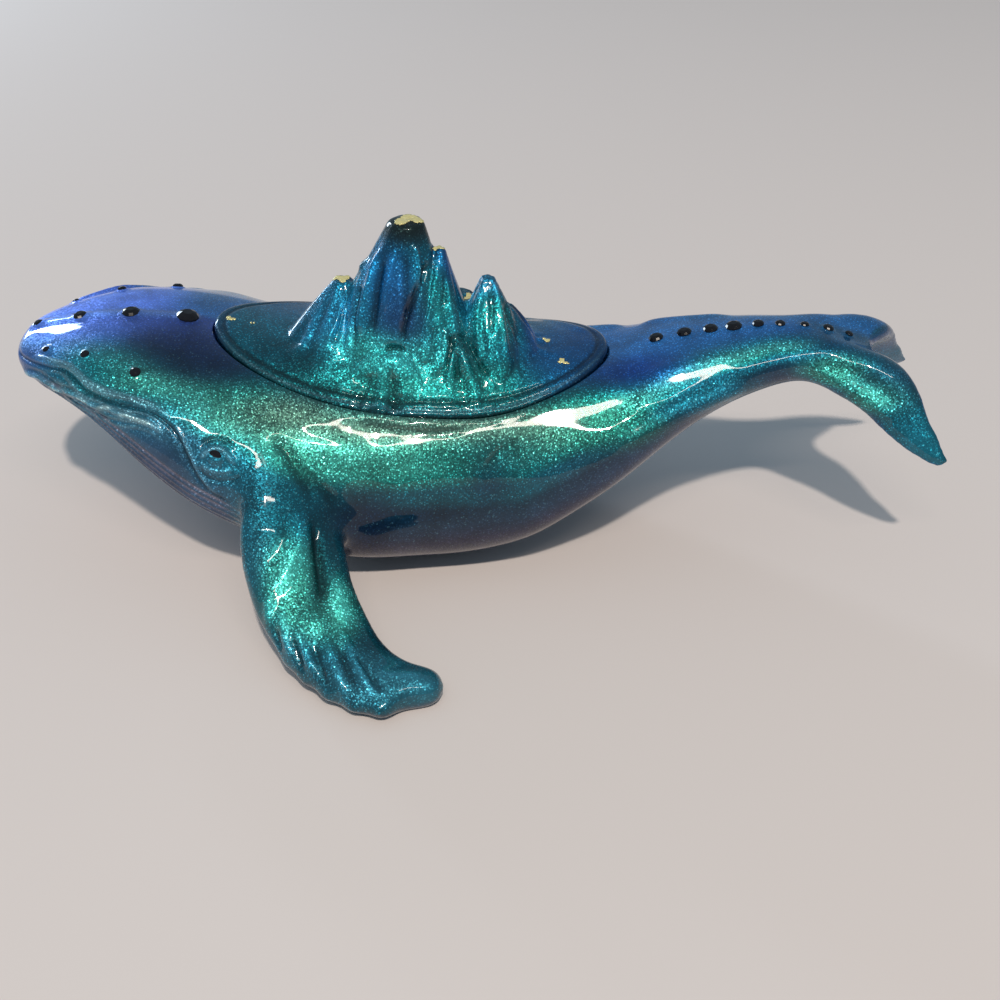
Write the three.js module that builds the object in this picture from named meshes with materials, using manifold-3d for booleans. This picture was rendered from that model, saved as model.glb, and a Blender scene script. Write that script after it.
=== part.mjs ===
// A cast resin trinket holder: a humpback whale with a bowl in its back, a lift-off lid that carries
// a small mountain range as its handle, black flat-back gems and flakes of gold leaf.
// Millimetres. X runs along the whale with the head at -X, Z is up, and the origin is on the flat
// of the belly, under the middle of the lid. The whale is the same on both sides of Y = 0.
import * as THREE from "three";
import { mergeVertices } from "three/addons/utils/BufferGeometryUtils.js";
import Module from "manifold-3d";

const wasm = await Module();
wasm.setup();

// Lid, its seat in the back, and the bowl below it
const LID_LENGTH = 107;
const LID_WIDTH = 55.5;
const LID_PROUD = 2.5; // plate top above the back around it
const LID_CHAMFER = 1.2; // bevel round the plate's top edge
const SEAT_DEPTH = 3.0; // seat below the back around it
const SEAT_SIDE_GAP = 0.4; // lid edge to recess wall
const SEAT_GAP = 0.3; // lid underside to seat
const LEDGE_WIDTH = 6.0; // recess wall to bowl wall
const PLUG_DEPTH = 3.0; // locating rim below the plate
const PLUG_WALL = 2.4;
const PLUG_SIDE_GAP = 0.6; // locating rim to bowl wall
const BOWL_FLOOR = 13.0; // height of the bowl's flat floor
const BOWL_FILLET = 13.0; // radius between bowl wall and floor
const OVAL_POINTS = 44; // points round the lid and its seat
const OVAL_SHARES = [0.2, 0.45, 0.7, 0.88]; // inner rings of their faces, as shares of the outline
const BOWL_POINTS = 40; // points round the bowl
const BOWL_STEPS = 6; // rings in the fillet
const OVERLAP = 1; // how far two solids that are joined run into each other

// Body
const BELLY_FLAT = 0.0; // the whale is cut off level here, so that it stands
const BODY_POINTS = 34; // points round a section
const BODY_STEP = 6; // about the distance between two sections
const BELLY_POWER = 2.0; // 2 makes the lower half of a section an ellipse; more is boxier
const WELD = 1e-4; // points closer than this are one
const SLOPE_STEP = 0.05; // either side of a point, to find the slope of the back there

// One row per station, nose to tail: the heights of back and belly on the midline, the half width,
// the share of the height at which the section is widest, and how boxy the back is: 2 is an ellipse.
const BODY_ROWS = [
  { x: -107.4, back: 54.0, belly: 52.4, half: 2.0, wide: 0.5, boxy: 2.2 },
  { x: -106.6, back: 56.4, belly: 50.8, half: 6.4, wide: 0.5, boxy: 2.2 },
  { x: -104.8, back: 58.2, belly: 49.6, half: 10.8, wide: 0.45, boxy: 2.2 },
  { x: -101.6, back: 59.7, belly: 48.9, half: 15.0, wide: 0.42, boxy: 2.2 },
  { x: -96.5, back: 61.0, belly: 47.9, half: 20.2, wide: 0.4, boxy: 2.2 },
  { x: -89.0, back: 62.3, belly: 46.0, half: 25.6, wide: 0.4, boxy: 2.3 },
  { x: -81.0, back: 63.4, belly: 41.4, half: 30.6, wide: 0.4, boxy: 2.3 },
  { x: -69.0, back: 63.4, belly: 30.0, half: 36.6, wide: 0.4, boxy: 2.25 },
  { x: -61.0, back: 62.6, belly: 22.4, half: 39.8, wide: 0.4, boxy: 2.2 },
  { x: -51.0, back: 60.2, belly: 16.0, half: 43.0, wide: 0.39, boxy: 2.2 },
  { x: -39.0, back: 58.8, belly: 9.2, half: 43.8, wide: 0.36, boxy: 2.1 },
  { x: -24.0, back: 58.3, belly: 2.4, half: 42.4, wide: 0.34, boxy: 2.15 },
  { x: -8.0, back: 58.0, belly: -1.0, half: 39.8, wide: 0.33, boxy: 2.3 },
  { x: 11.0, back: 57.4, belly: -1.0, half: 36.6, wide: 0.33, boxy: 2.45 },
  { x: 31.0, back: 56.0, belly: 3.6, half: 34.0, wide: 0.33, boxy: 2.3 },
  { x: 46.0, back: 55.0, belly: 14.2, half: 32.0, wide: 0.35, boxy: 2.3 },
  { x: 56.0, back: 55.4, belly: 22.2, half: 29.4, wide: 0.37, boxy: 2.35 },
  { x: 66.0, back: 58.4, belly: 30.0, half: 25.0, wide: 0.41, boxy: 2.3 },
  { x: 76.0, back: 60.7, belly: 37.6, half: 20.6, wide: 0.46, boxy: 2.1 },
  { x: 86.0, back: 62.2, belly: 43.8, half: 17.3, wide: 0.5, boxy: 2 },
  { x: 96.0, back: 63.4, belly: 47.8, half: 14.5, wide: 0.5, boxy: 2 },
  { x: 106.0, back: 63.2, belly: 50.2, half: 12.6, wide: 0.5, boxy: 2 },
  { x: 115.0, back: 61.4, belly: 52.4, half: 9.6, wide: 0.5, boxy: 2 },
  { x: 121.0, back: 59.2, belly: 54.6, half: 6.0, wide: 0.5, boxy: 2 },
  { x: 124.4, back: 57.4, belly: 56.2, half: 2.0, wide: 0.5, boxy: 2 },
];

// A fin is lofted from root to tip. Each row holds a leading and a trailing point [x, y, z] for
// the near side, the thickness there, and how far the middle of the section is bowed up.
const FIN_POINTS = 14;
const FLIPPER_ROWS = [
  { lead: [-41, -32, 40], trail: [-16, -30, 30], thick: 20, camber: 0 },
  { lead: [-40, -41, 38], trail: [-15, -38, 24], thick: 18, camber: 0 },
  { lead: [-41, -50, 28.5], trail: [-13.4, -47, 19], thick: 14.5, camber: 0.5 },
  { lead: [-39, -58.4, 20], trail: [-11.6, -53.6, 15.5], thick: 12, camber: 1 },
  { lead: [-34, -67.6, 13], trail: [-6.4, -62.8, 10.5], thick: 10, camber: 1 },
  { lead: [-27.4, -75.6, 8.5], trail: [-1.8, -69.2, 7.6], thick: 9, camber: 1 },
  { lead: [-19, -82.3, 5.4], trail: [3.2, -72.7, 5.8], thick: 9.2, camber: 0.5 },
  { lead: [-9.5, -87.2, 4], trail: [7, -73.7, 5], thick: 9, camber: 0 },
  { lead: [-1, -87.6, 3.6], trail: [9.6, -74.3, 4.6], thick: 8.8, camber: 0 },
  { lead: [6, -85.4, 3.5], trail: [11.2, -75.5, 4.4], thick: 8.2, camber: 0 },
  { lead: [11, -84, 3.6], trail: [12.4, -77, 4.2], thick: 6.6, camber: 0 },
  { lead: [12.6, -82, 3.8], trail: [13, -79.8, 4], thick: 3, camber: 0 },
];
// Knuckles along the flipper's leading edge: [x, y, z, radius]
const KNUCKLES = [
  [-24.4, -72.4, 6.6, 3.3],
  [-19.8, -76.8, 5.4, 3.4],
  [-13.8, -81.0, 4.4, 3.6],
  [-7.2, -84.2, 3.9, 3.7],
  [-0.8, -85.4, 3.8, 3.8],
];
const KNUCKLE_STRETCH = 1.5; // a knuckle's length over its height, along the finger behind it
const KNUCKLE_TURN = 0.45; // radians from across the whale towards the tail
const KNUCKLE_FLATNESS = 0.9; // a knuckle's height over its width
const KNUCKLE_POINTS = 10; // points round a knuckle
const KNUCKLE_RINGS = 7;
const FLUKE_ROWS = [
  { lead: [97, 1, 56], trail: [124, 1, 57.5], thick: 9, camber: 0.6 },
  { lead: [101, -7, 53.6], trail: [127.4, -5, 55.6], thick: 8, camber: 1.2 },
  { lead: [107.6, -12.4, 52], trail: [131.6, -11.2, 54.8], thick: 7.6, camber: 3.4 },
  { lead: [116.4, -16.4, 48.9], trail: [134.9, -16, 52], thick: 6.4, camber: 3 },
  { lead: [124.4, -20.4, 44.8], trail: [137.2, -20.2, 47.4], thick: 5, camber: 2 },
  { lead: [131.8, -23.9, 40.2], trail: [139.4, -24, 42.8], thick: 3.8, camber: 0.8 },
  { lead: [138, -26.6, 37], trail: [141, -27, 39.2], thick: 2.2, camber: 0 },
];
const FIN_STEPS = 2; // lofted sections per row
const FIN_FULLNESS = 0.25; // how far the thickest part sits towards the leading edge

// Gems: a girdle, a cone of facets and a flat table
const GEM_FACETS = 10;
const GEM_HEIGHT = 0.38; // of the diameter
const GEM_GIRDLE = 0.14; // of the diameter
const GEM_TABLE = 0.52; // of the diameter
const GLUE_GAP = 0.3;
const CROWN_CLEAR = 3.9; // the lid's front end to the edge of the crown's last gem
const LAST_CROWN_SIZE = 6;
const CROWN_GEMS = [
  { x: -101.4, size: 3 },
  { x: -89.6, size: 4 },
  { x: -75.6, size: 5 },
  { x: -LID_LENGTH / 2 - CROWN_CLEAR - LAST_CROWN_SIZE / 2, size: LAST_CROWN_SIZE },
];
// Side gems of the head, set out from the midline by y
const CHEEK_GEMS = [
  { x: -95.2, y: 13.9, size: 2 },
  { x: -83.3, y: 18.8, size: 2.5 },
  { x: -69.0, y: 24.5, size: 3 },
];
const EYE_GEM = { x: -46.8, y: 39.3, size: 3.6 };
const TAIL_GEMS = [
  { x: 66.1, size: 4 },
  { x: 73.5, size: 4 },
  { x: 80.4, size: 4 },
  { x: 86.5, size: 4.5 },
  { x: 92.9, size: 3.2 },
  { x: 98.7, size: 2.8 },
  { x: 105.2, size: 2.4 },
  { x: 111.5, size: 3 },
  { x: 117.2, size: 2.3 },
];

// Peaks of the lid's mountain range. The summit is [x, y, height above the table], the foot
// [x, y, half length, half width] where it meets the plate. A hollow above 1 draws the slope in.
const PEAK_POINTS = 16;
const PEAK_LEVELS = [0, 0.14, 0.32, 0.52, 0.72, 0.88, 1];
const PEAK_SKIRT = 9; // how far a foot runs on below the plate's top
const SKIRT_SPREAD = 1.08; // and how much wider it is there
const PEAKS = [
  { summit: [0, -1, 92.2], tip: 4.4, foot: [-4.6, -3, 19.5, 15], hollow: 1.02, flutes: 6 },
  { summit: [-17.7, 0, 74.8], tip: 1.9, foot: [-18.5, -2.5, 15.5, 12.5], hollow: 1, flutes: 5 },
  { summit: [8.2, -1.4, 84.8], tip: 1.6, foot: [6.8, -8, 11.6, 12], hollow: 1.05, flutes: 5 },
  { summit: [20.8, -1, 76.6], tip: 1.6, foot: [21.2, -7.4, 10.5, 10.6], hollow: 1, flutes: 5 },
  { summit: [15.2, 1, 69.4], tip: 3, foot: [15, -2, 9, 13], hollow: 1, flutes: 4 },
  { summit: [24.8, 1, 67.4], tip: 2.2, foot: [25.6, -4, 9.6, 10.6], hollow: 0.95, flutes: 5 },
  { summit: [13.4, -13, 64.4], tip: 1, foot: [14.4, -14.5, 8.6, 7.4], hollow: 1.1, flutes: 5 },
  { summit: [-4, -13, 61.6], tip: 6, foot: [-4, -12, 17, 12], hollow: 1, flutes: 5 },
  { summit: [-8, 10, 68], tip: 2.4, foot: [-8, 9.5, 15, 10], hollow: 1, flutes: 5 },
  { summit: [13.5, 9, 67.6], tip: 2, foot: [14, 8.5, 13, 9.5], hollow: 1.05, flutes: 5 },
];
const FLUTE_DEPTH = 0.06; // of the radius
const FLUTE_TURN = 1.7; // radians between the flutes of one peak and the next

// Gold leaf: irregular flat chips pressed onto the plate and the tips of the peaks
const FLAKE_THICK = 0.35;
const FLAKE_GAP = 0.3;
const FLAKE_CORNERS = [1, 0.72, 0.95, 0.6, 0.88, 0.7]; // radii of the corners, as shares
const PLATE_FRONT = -LID_LENGTH / 2;
const PLATE_FLAKES = [
  { x: PLATE_FRONT + 4.3, y: 0.4, size: 1.9, turn: 0.4 },
  { x: PLATE_FRONT + 10.9, y: -0.8, size: 1.1, turn: 1.5 },
  { x: 36.4, y: -1.4, size: 1.5, turn: 2.2 },
  { x: 41.2, y: -9.8, size: 1.8, turn: 0.9 },
];
const GILDED_PEAKS = [0, 1, 2, 4]; // which of the peaks carry a chip on their tip
const CHIP_SHARE = 0.75; // of the tip's radius

// Materials
const resinBlueGreen = new THREE.MeshStandardMaterial({ color: 0x0f7f86, roughness: 0.18, metalness: 0.55 });
const resinLid = new THREE.MeshStandardMaterial({ color: 0x12808a, roughness: 0.2, metalness: 0.5 });
const blackGem = new THREE.MeshStandardMaterial({ color: 0x08080a, roughness: 0.08, metalness: 0.3 });
const goldLeaf = new THREE.MeshStandardMaterial({ color: 0xd8b24a, roughness: 0.3, metalness: 1 });

// Solids

function signedVolume(points, faces) {
  let sum = 0;
  const cross = new THREE.Vector3();
  for (let i = 0; i < faces.length; i += 3) {
    cross.crossVectors(points[faces[i + 1]], points[faces[i + 2]]);
    sum += points[faces[i]].dot(cross);
  }
  return sum / 6;
}

// A closed geometry from points and triangle indices, turned so that its faces point out.
function closedGeometry(points, faces) {
  const turned = [...faces];
  if (signedVolume(points, faces) < 0) turned.reverse();
  const geometry = new THREE.BufferGeometry().setFromPoints(points);
  geometry.setIndex(turned);
  return geometry;
}

// A skin over a row of rings with equally many points, closed by a fan at each end.
function loft(rings) {
  const count = rings[0].length;
  const points = rings.flat();
  const faces = [];
  for (let r = 0; r + 1 < rings.length; r++)
    for (let i = 0; i < count; i++) {
      const a = r * count + i;
      const b = r * count + ((i + 1) % count);
      faces.push(a, b, b + count, a, b + count, a + count);
    }
  for (const [ring, first] of [[0, true], [rings.length - 1, false]]) {
    const centre = new THREE.Vector3();
    rings[ring].forEach((p) => centre.addScaledVector(p, 1 / count));
    const middle = points.push(centre) - 1;
    for (let i = 0; i < count; i++) {
      const a = ring * count + i;
      const b = ring * count + ((i + 1) % count);
      faces.push(...(first ? [middle, b, a] : [middle, a, b]));
    }
  }
  return closedGeometry(points, faces);
}

function solidOf(geometry) {
  const bare = geometry.clone();
  bare.deleteAttribute("normal");
  bare.deleteAttribute("uv");
  const merged = mergeVertices(bare, WELD);
  return new wasm.Manifold(
    new wasm.Mesh({
      numProp: 3,
      vertProperties: new Float32Array(merged.attributes.position.array),
      triVerts: new Uint32Array(merged.index.array),
    }),
  );
}

function geometryOf(solid) {
  const mesh = solid.getMesh();
  const geometry = new THREE.BufferGeometry();
  geometry.setAttribute("position", new THREE.BufferAttribute(mesh.vertProperties, 3));
  geometry.setIndex(new THREE.BufferAttribute(mesh.triVerts, 1));
  geometry.computeVertexNormals();
  return geometry;
}

// Curves

// A smooth curve through rows of x and a value that never passes beyond them.
function curveThrough(rows, key) {
  const x = rows.map((row) => row.x);
  const y = rows.map((row) => row[key]);
  const grade = x.slice(1).map((right, i) => (y[i + 1] - y[i]) / (right - x[i]));
  const slope = x.map((_, i) => {
    const before = grade[Math.max(i - 1, 0)];
    const after = grade[Math.min(i, grade.length - 1)];
    return before * after <= 0 ? 0 : (2 * before * after) / (before + after);
  });
  return (at) => {
    const inside = THREE.MathUtils.clamp(at, x[0], x[x.length - 1]);
    let i = 0;
    while (i < x.length - 2 && inside > x[i + 1]) i++;
    const span = x[i + 1] - x[i];
    const t = (inside - x[i]) / span;
    const t2 = t * t;
    const t3 = t2 * t;
    return (
      y[i] * (2 * t3 - 3 * t2 + 1) +
      slope[i] * span * (t3 - 2 * t2 + t) +
      y[i + 1] * (3 * t2 - 2 * t3) +
      slope[i + 1] * span * (t3 - t2)
    );
  };
}

const back = curveThrough(BODY_ROWS, "back");
const belly = curveThrough(BODY_ROWS, "belly");
const half = curveThrough(BODY_ROWS, "half");
const wide = curveThrough(BODY_ROWS, "wide");
const boxy = curveThrough(BODY_ROWS, "boxy");
const widest = (x) => belly(x) + wide(x) * (back(x) - belly(x));

// Height of the whale's back at x, y, as if the lid and its seat weren't there
function backHeight(x, y) {
  const share = Math.min(1, Math.abs(y) / half(x));
  const rise = (1 - share ** boxy(x)) ** (1 / boxy(x));
  return widest(x) + (back(x) - widest(x)) * rise;
}

// Whale body

function trunkRing(x) {
  const ring = [];
  for (let i = 0; i < BODY_POINTS; i++) {
    const angle = (2 * Math.PI * i) / BODY_POINTS;
    const side = Math.cos(angle);
    const up = Math.sin(angle);
    const reach = up > 0 ? back(x) - widest(x) : widest(x) - belly(x);
    const power = up > 0 ? boxy(x) : BELLY_POWER;
    const bow = (v) => Math.sign(v) * Math.abs(v) ** (2 / power);
    ring.push(new THREE.Vector3(x, half(x) * bow(side), widest(x) + reach * bow(up)));
  }
  return ring;
}

function trunk() {
  const rings = [];
  for (let i = 0; i + 1 < BODY_ROWS.length; i++) {
    const from = BODY_ROWS[i].x;
    const to = BODY_ROWS[i + 1].x;
    const steps = Math.max(1, Math.round((to - from) / BODY_STEP));
    for (let s = 0; s < steps; s++) rings.push(trunkRing(from + ((to - from) * s) / steps));
  }
  rings.push(trunkRing(BODY_ROWS[BODY_ROWS.length - 1].x));
  return solidOf(loft(rings));
}

// side is 1 for the near fin, whose rows are as written, and -1 for its mirror image.
function fin(rows, side) {
  const lead = new THREE.CatmullRomCurve3(rows.map((r) => new THREE.Vector3(...r.lead)));
  const trail = new THREE.CatmullRomCurve3(rows.map((r) => new THREE.Vector3(...r.trail)));
  const spans = rows.length - 1;
  const rings = [];
  for (let s = 0; s <= spans * FIN_STEPS; s++) {
    const at = s / (spans * FIN_STEPS);
    const row = Math.min(Math.floor(at * spans), spans - 1);
    const part = at * spans - row;
    const between = (key) => THREE.MathUtils.lerp(rows[row][key], rows[row + 1][key], part);
    const front = lead.getPoint(at);
    const rear = trail.getPoint(at);
    const middle = front.clone().add(rear).multiplyScalar(0.5);
    const chord = front.clone().sub(rear).multiplyScalar(0.5);
    const ring = [];
    for (let i = 0; i < FIN_POINTS; i++) {
      const angle = (2 * Math.PI * i) / FIN_POINTS;
      const along = Math.cos(angle);
      const bow = between("camber") * (1 - along * along);
      const rise = (between("thick") / 2) * Math.sin(angle) * (1 + FIN_FULLNESS * along);
      const p = middle.clone().addScaledVector(chord, along);
      p.z += rise + bow;
      p.y *= side;
      ring.push(p);
    }
    rings.push(ring);
  }
  return solidOf(loft(rings));
}

function knuckle([x, y, z, radius], side) {
  const ball = new THREE.SphereGeometry(radius, KNUCKLE_POINTS, KNUCKLE_RINGS);
  ball.scale(1, KNUCKLE_STRETCH, KNUCKLE_FLATNESS);
  ball.rotateZ(-KNUCKLE_TURN * side);
  ball.translate(x, y * side, z);
  return solidOf(ball);
}

// A solid over an ellipse: underside and topside are heights over x, y. inset is a list of
// [distance in from the edge, drop from the topside] that shapes the top edge.
function ovalSolid(length, width, underside, topside, inset = [[0, 0]]) {
  const oval = (shrink, share, height, drop) => {
    const ring = [];
    for (let i = 0; i < OVAL_POINTS; i++) {
      const angle = (2 * Math.PI * i) / OVAL_POINTS;
      const x = (length / 2 - shrink) * share * Math.cos(angle);
      const y = (width / 2 - shrink) * share * Math.sin(angle);
      ring.push(new THREE.Vector3(x, y, height(x, y) - drop));
    }
    return ring;
  };
  const deepest = inset[inset.length - 1][0];
  return solidOf(
    loft([
      ...OVAL_SHARES.map((share) => oval(0, share, underside, 0)),
      oval(0, 1, underside, 0),
      ...inset.map(([shrink, drop]) => oval(shrink, 1, topside, drop)),
      ...[...OVAL_SHARES].reverse().map((share) => oval(deepest, share, topside, 0)),
    ]),
  );
}

const seatHeight = (x, y) => backHeight(x, y) - SEAT_DEPTH;
const highestBack = Math.max(...BODY_ROWS.map((row) => row.back));
const above = () => highestBack + OVERLAP;
const bowlLength = LID_LENGTH - 2 * LEDGE_WIDTH;
const bowlWidth = LID_WIDTH - 2 * LEDGE_WIDTH;

// The bowl's inside: upright walls, a round corner and a flat floor
function bowl() {
  const oval = (inset, z) => {
    const ring = [];
    for (let i = 0; i < BOWL_POINTS; i++) {
      const angle = (2 * Math.PI * i) / BOWL_POINTS;
      const x = (bowlLength / 2 - inset) * Math.cos(angle);
      const y = (bowlWidth / 2 - inset) * Math.sin(angle);
      ring.push(new THREE.Vector3(x, y, z));
    }
    return ring;
  };
  const rings = [oval(0, above())];
  for (let i = 0; i <= BOWL_STEPS; i++) {
    const angle = ((Math.PI / 2) * i) / BOWL_STEPS;
    const inset = BOWL_FILLET * (1 - Math.cos(angle));
    rings.push(oval(inset, BOWL_FLOOR + BOWL_FILLET * (1 - Math.sin(angle))));
  }
  return solidOf(loft(rings));
}

function whaleBody() {
  let whale = trunk();
  for (const side of [1, -1]) {
    whale = whale.add(fin(FLIPPER_ROWS, side)).add(fin(FLUKE_ROWS, side));
    for (const k of KNUCKLES) whale = whale.add(knuckle(k, side));
  }
  const side = 2 * (BODY_ROWS[BODY_ROWS.length - 1].x - BODY_ROWS[0].x);
  const ground = solidOf(new THREE.BoxGeometry(side, side, side).translate(0, 0, BELLY_FLAT - side / 2));
  const recess = ovalSolid(LID_LENGTH, LID_WIDTH, seatHeight, above);
  return whale.subtract(ground).subtract(recess).subtract(bowl());
}

// Lid

const lidTop = (x, y) => backHeight(x, y) + LID_PROUD;

function peak({ summit, tip, foot, hollow, flutes }, index) {
  const ground = lidTop(foot[0], Math.abs(foot[1]) + foot[3]);
  const lowest = -PEAK_SKIRT / (summit[2] - ground);
  const rings = [lowest, ...PEAK_LEVELS].map((level) => {
    const spread = level < 0 ? SKIRT_SPREAD : (1 - level) ** hollow;
    const share = THREE.MathUtils.clamp(level, 0, 1);
    const cx = THREE.MathUtils.lerp(foot[0], summit[0], share);
    const cy = THREE.MathUtils.lerp(foot[1], summit[1], share);
    const ring = [];
    for (let i = 0; i < PEAK_POINTS; i++) {
      const angle = (2 * Math.PI * i) / PEAK_POINTS;
      const flute = 1 + FLUTE_DEPTH * Math.cos(flutes * angle + index * FLUTE_TURN + level);
      const x = cx + flute * (tip + (foot[2] - tip) * spread) * Math.cos(angle);
      const y = cy + flute * (tip + (foot[3] - tip) * spread) * Math.sin(angle);
      ring.push(new THREE.Vector3(x, y, ground + (summit[2] - ground) * level));
    }
    return ring;
  });
  return solidOf(loft(rings));
}

function lid() {
  const length = LID_LENGTH - 2 * SEAT_SIDE_GAP;
  const width = LID_WIDTH - 2 * SEAT_SIDE_GAP;
  const underside = (x, y) => seatHeight(x, y) + SEAT_GAP;
  const edge = [[0, LID_CHAMFER], [LID_CHAMFER, 0]];
  let made = ovalSolid(length, width, underside, lidTop, edge);
  PEAKS.forEach((p, i) => {
    made = made.add(peak(p, i));
  });
  const lowest = (x, y) => underside(x, y) - 2 * PEAK_SKIRT;
  const under = ovalSolid(length + 2 * OVERLAP, width + 2 * OVERLAP, lowest, underside);
  const rimBottom = (x, y) => underside(x, y) - PLUG_DEPTH;
  const rimLength = bowlLength - 2 * PLUG_SIDE_GAP;
  const rimWidth = bowlWidth - 2 * PLUG_SIDE_GAP;
  const rim = ovalSolid(rimLength, rimWidth, rimBottom, (x, y) => underside(x, y) + OVERLAP);
  const hollowBottom = (x, y) => rimBottom(x, y) - PLUG_DEPTH;
  const hollow = ovalSolid(rimLength - 2 * PLUG_WALL, rimWidth - 2 * PLUG_WALL, hollowBottom, underside);
  return made.subtract(under).add(rim.subtract(hollow));
}

// Gems

function gemGeometry(size) {
  const profile = [
    [0, 0],
    [size / 2, 0],
    [size / 2, size * GEM_GIRDLE],
    [(size * GEM_TABLE) / 2, size * GEM_HEIGHT],
    [0, size * GEM_HEIGHT],
  ].map(([r, h]) => new THREE.Vector2(r, h));
  const geometry = new THREE.LatheGeometry(profile, GEM_FACETS);
  geometry.rotateX(Math.PI / 2); // its axis along Z
  return geometry;
}

// The outward direction of the back at x, y
function backNormal(x, y) {
  const d = SLOPE_STEP;
  const dx = (backHeight(x + d, y) - backHeight(x - d, y)) / (2 * d);
  const dy = (backHeight(x, y + d) - backHeight(x, y - d)) / (2 * d);
  return new THREE.Vector3(-dx, -dy, 1).normalize();
}

function gem(name, x, y, size) {
  const mesh = new THREE.Mesh(gemGeometry(size), blackGem);
  const normal = backNormal(x, y);
  mesh.name = name;
  mesh.position.set(x, y, backHeight(x, y)).addScaledVector(normal, GLUE_GAP);
  mesh.quaternion.setFromUnitVectors(new THREE.Vector3(0, 0, 1), normal);
  return mesh;
}

// A chip of gold leaf, flat side down on the point at, square to normal
function flake(name, size, turn, at, normal) {
  const outline = FLAKE_CORNERS.map((share, i) => {
    const angle = turn + (2 * Math.PI * i) / FLAKE_CORNERS.length;
    return new THREE.Vector2(size * share * Math.cos(angle), size * share * Math.sin(angle));
  });
  const geometry = new THREE.ExtrudeGeometry(new THREE.Shape(outline), {
    depth: FLAKE_THICK,
    bevelEnabled: false,
  });
  const mesh = named(name, geometry, goldLeaf);
  mesh.position.copy(at).addScaledVector(normal, FLAKE_GAP);
  mesh.quaternion.setFromUnitVectors(new THREE.Vector3(0, 0, 1), normal);
  return mesh;
}

function named(name, geometry, material) {
  const mesh = new THREE.Mesh(geometry, material);
  mesh.name = name;
  return mesh;
}

const holder = new THREE.Group();
holder.add(named("whale_body", geometryOf(whaleBody()), resinBlueGreen));
CROWN_GEMS.forEach(({ x, size }, i) => holder.add(gem(`crown_gem_${i + 1}`, x, 0, size)));
for (const [side, y] of [["near", -1], ["far", 1]]) {
  CHEEK_GEMS.forEach((g, i) => holder.add(gem(`cheek_gem_${side}_${i + 1}`, g.x, g.y * y, g.size)));
  holder.add(gem(`eye_gem_${side}`, EYE_GEM.x, EYE_GEM.y * y, EYE_GEM.size));
}
TAIL_GEMS.forEach(({ x, size }, i) => holder.add(gem(`tail_gem_${i + 1}`, x, 0, size)));

const lidGroup = new THREE.Group();
lidGroup.add(named("mountain_lid", geometryOf(lid()), resinLid));
PLATE_FLAKES.forEach(({ x, y, size, turn }, i) => {
  const at = new THREE.Vector3(x, y, lidTop(x, y));
  lidGroup.add(flake(`plate_flake_${i + 1}`, size, turn, at, backNormal(x, y)));
});
GILDED_PEAKS.forEach((index, i) => {
  const { summit, tip } = PEAKS[index];
  const up = new THREE.Vector3(0, 0, 1);
  lidGroup.add(flake(`peak_flake_${i + 1}`, tip * CHIP_SHARE, index, new THREE.Vector3(...summit), up));
});

const trinketHolder = new THREE.Group();
trinketHolder.add(holder, lidGroup);

export default trinketHolder;
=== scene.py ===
# The looks of the whale trinket holder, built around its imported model: metres, +Z up, head at -X.
# The two castings are fine copies of their CAD nodes, rounded and carved; gems and leaf are new cuts.
import math
import bmesh
import bpy
import numpy as np
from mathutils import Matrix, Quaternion, Vector
from mathutils.bvhtree import BVHTree


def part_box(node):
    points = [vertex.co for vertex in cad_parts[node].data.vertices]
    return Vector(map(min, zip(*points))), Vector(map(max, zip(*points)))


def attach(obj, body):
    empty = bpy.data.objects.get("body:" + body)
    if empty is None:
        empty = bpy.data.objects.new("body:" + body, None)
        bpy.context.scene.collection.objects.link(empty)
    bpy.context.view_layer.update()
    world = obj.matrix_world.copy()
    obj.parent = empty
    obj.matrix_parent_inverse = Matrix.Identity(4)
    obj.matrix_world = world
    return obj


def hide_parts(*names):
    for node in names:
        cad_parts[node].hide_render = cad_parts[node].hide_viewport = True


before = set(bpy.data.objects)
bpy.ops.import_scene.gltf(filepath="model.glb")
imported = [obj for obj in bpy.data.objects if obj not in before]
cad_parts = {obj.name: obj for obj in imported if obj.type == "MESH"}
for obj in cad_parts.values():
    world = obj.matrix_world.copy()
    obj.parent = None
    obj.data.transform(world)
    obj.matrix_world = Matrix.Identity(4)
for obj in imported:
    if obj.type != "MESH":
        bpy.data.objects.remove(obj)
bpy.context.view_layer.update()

MM = 0.001
TINY = 1e-9
MIRROR = (1, -1, 1)
RAY_START = 0.2  # metres above or below, clear of the object
RANDOM = np.random.default_rng(7)

# The camera stands where the photograph was taken from
CAMERA_TARGET = (24.0, 0.0, 4.5)
CAMERA_DISTANCE = 409.0
CAMERA_RISE = math.radians(35.0)
CAMERA_TURN = math.radians(2.0)
CAMERA_BACK = (
    math.sin(CAMERA_TURN) * math.cos(CAMERA_RISE),
    -math.cos(CAMERA_TURN) * math.cos(CAMERA_RISE),
    math.sin(CAMERA_RISE),
)
CAMERA_LENS = 50.4
SENSOR_WIDTH = 36.0
STRIP_WAY = (0.10, -0.57, 0.82)  # towards the long light that draws the highlights

# Mesh sizes
BODY_VOXEL = 0.8
FLUKE_SWELL = 0.7  # thickens the flukes before their edges are rounded
LID_VOXEL = 0.42
WELD = 1e-7  # metres
CREASE = math.radians(42)
BULGE = 0.75  # share of the way from a flat facet to the curve through its corners
BULGE_LIMIT = 0.8
OVAL_RAYS = 720
OVAL_WAVES = 14  # about how many waves round an oval its heights keep
BORDER_WELD = 0.25
SPLINE_STEPS = 10
RIM_FREE = 0.03  # share of the smoothing that reaches a crisp rim

# Rounds of smoothing
BODY_ROUNDS = 180
ROOT_ROUNDS = 80  # where flippers and flukes meet the trunk
FLUKE_ROUNDS = 28
LIMB_ROUNDS = 30
BACK_ROUNDS = 60  # round the opening for the lid
LID_ROUNDS = 40

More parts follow.
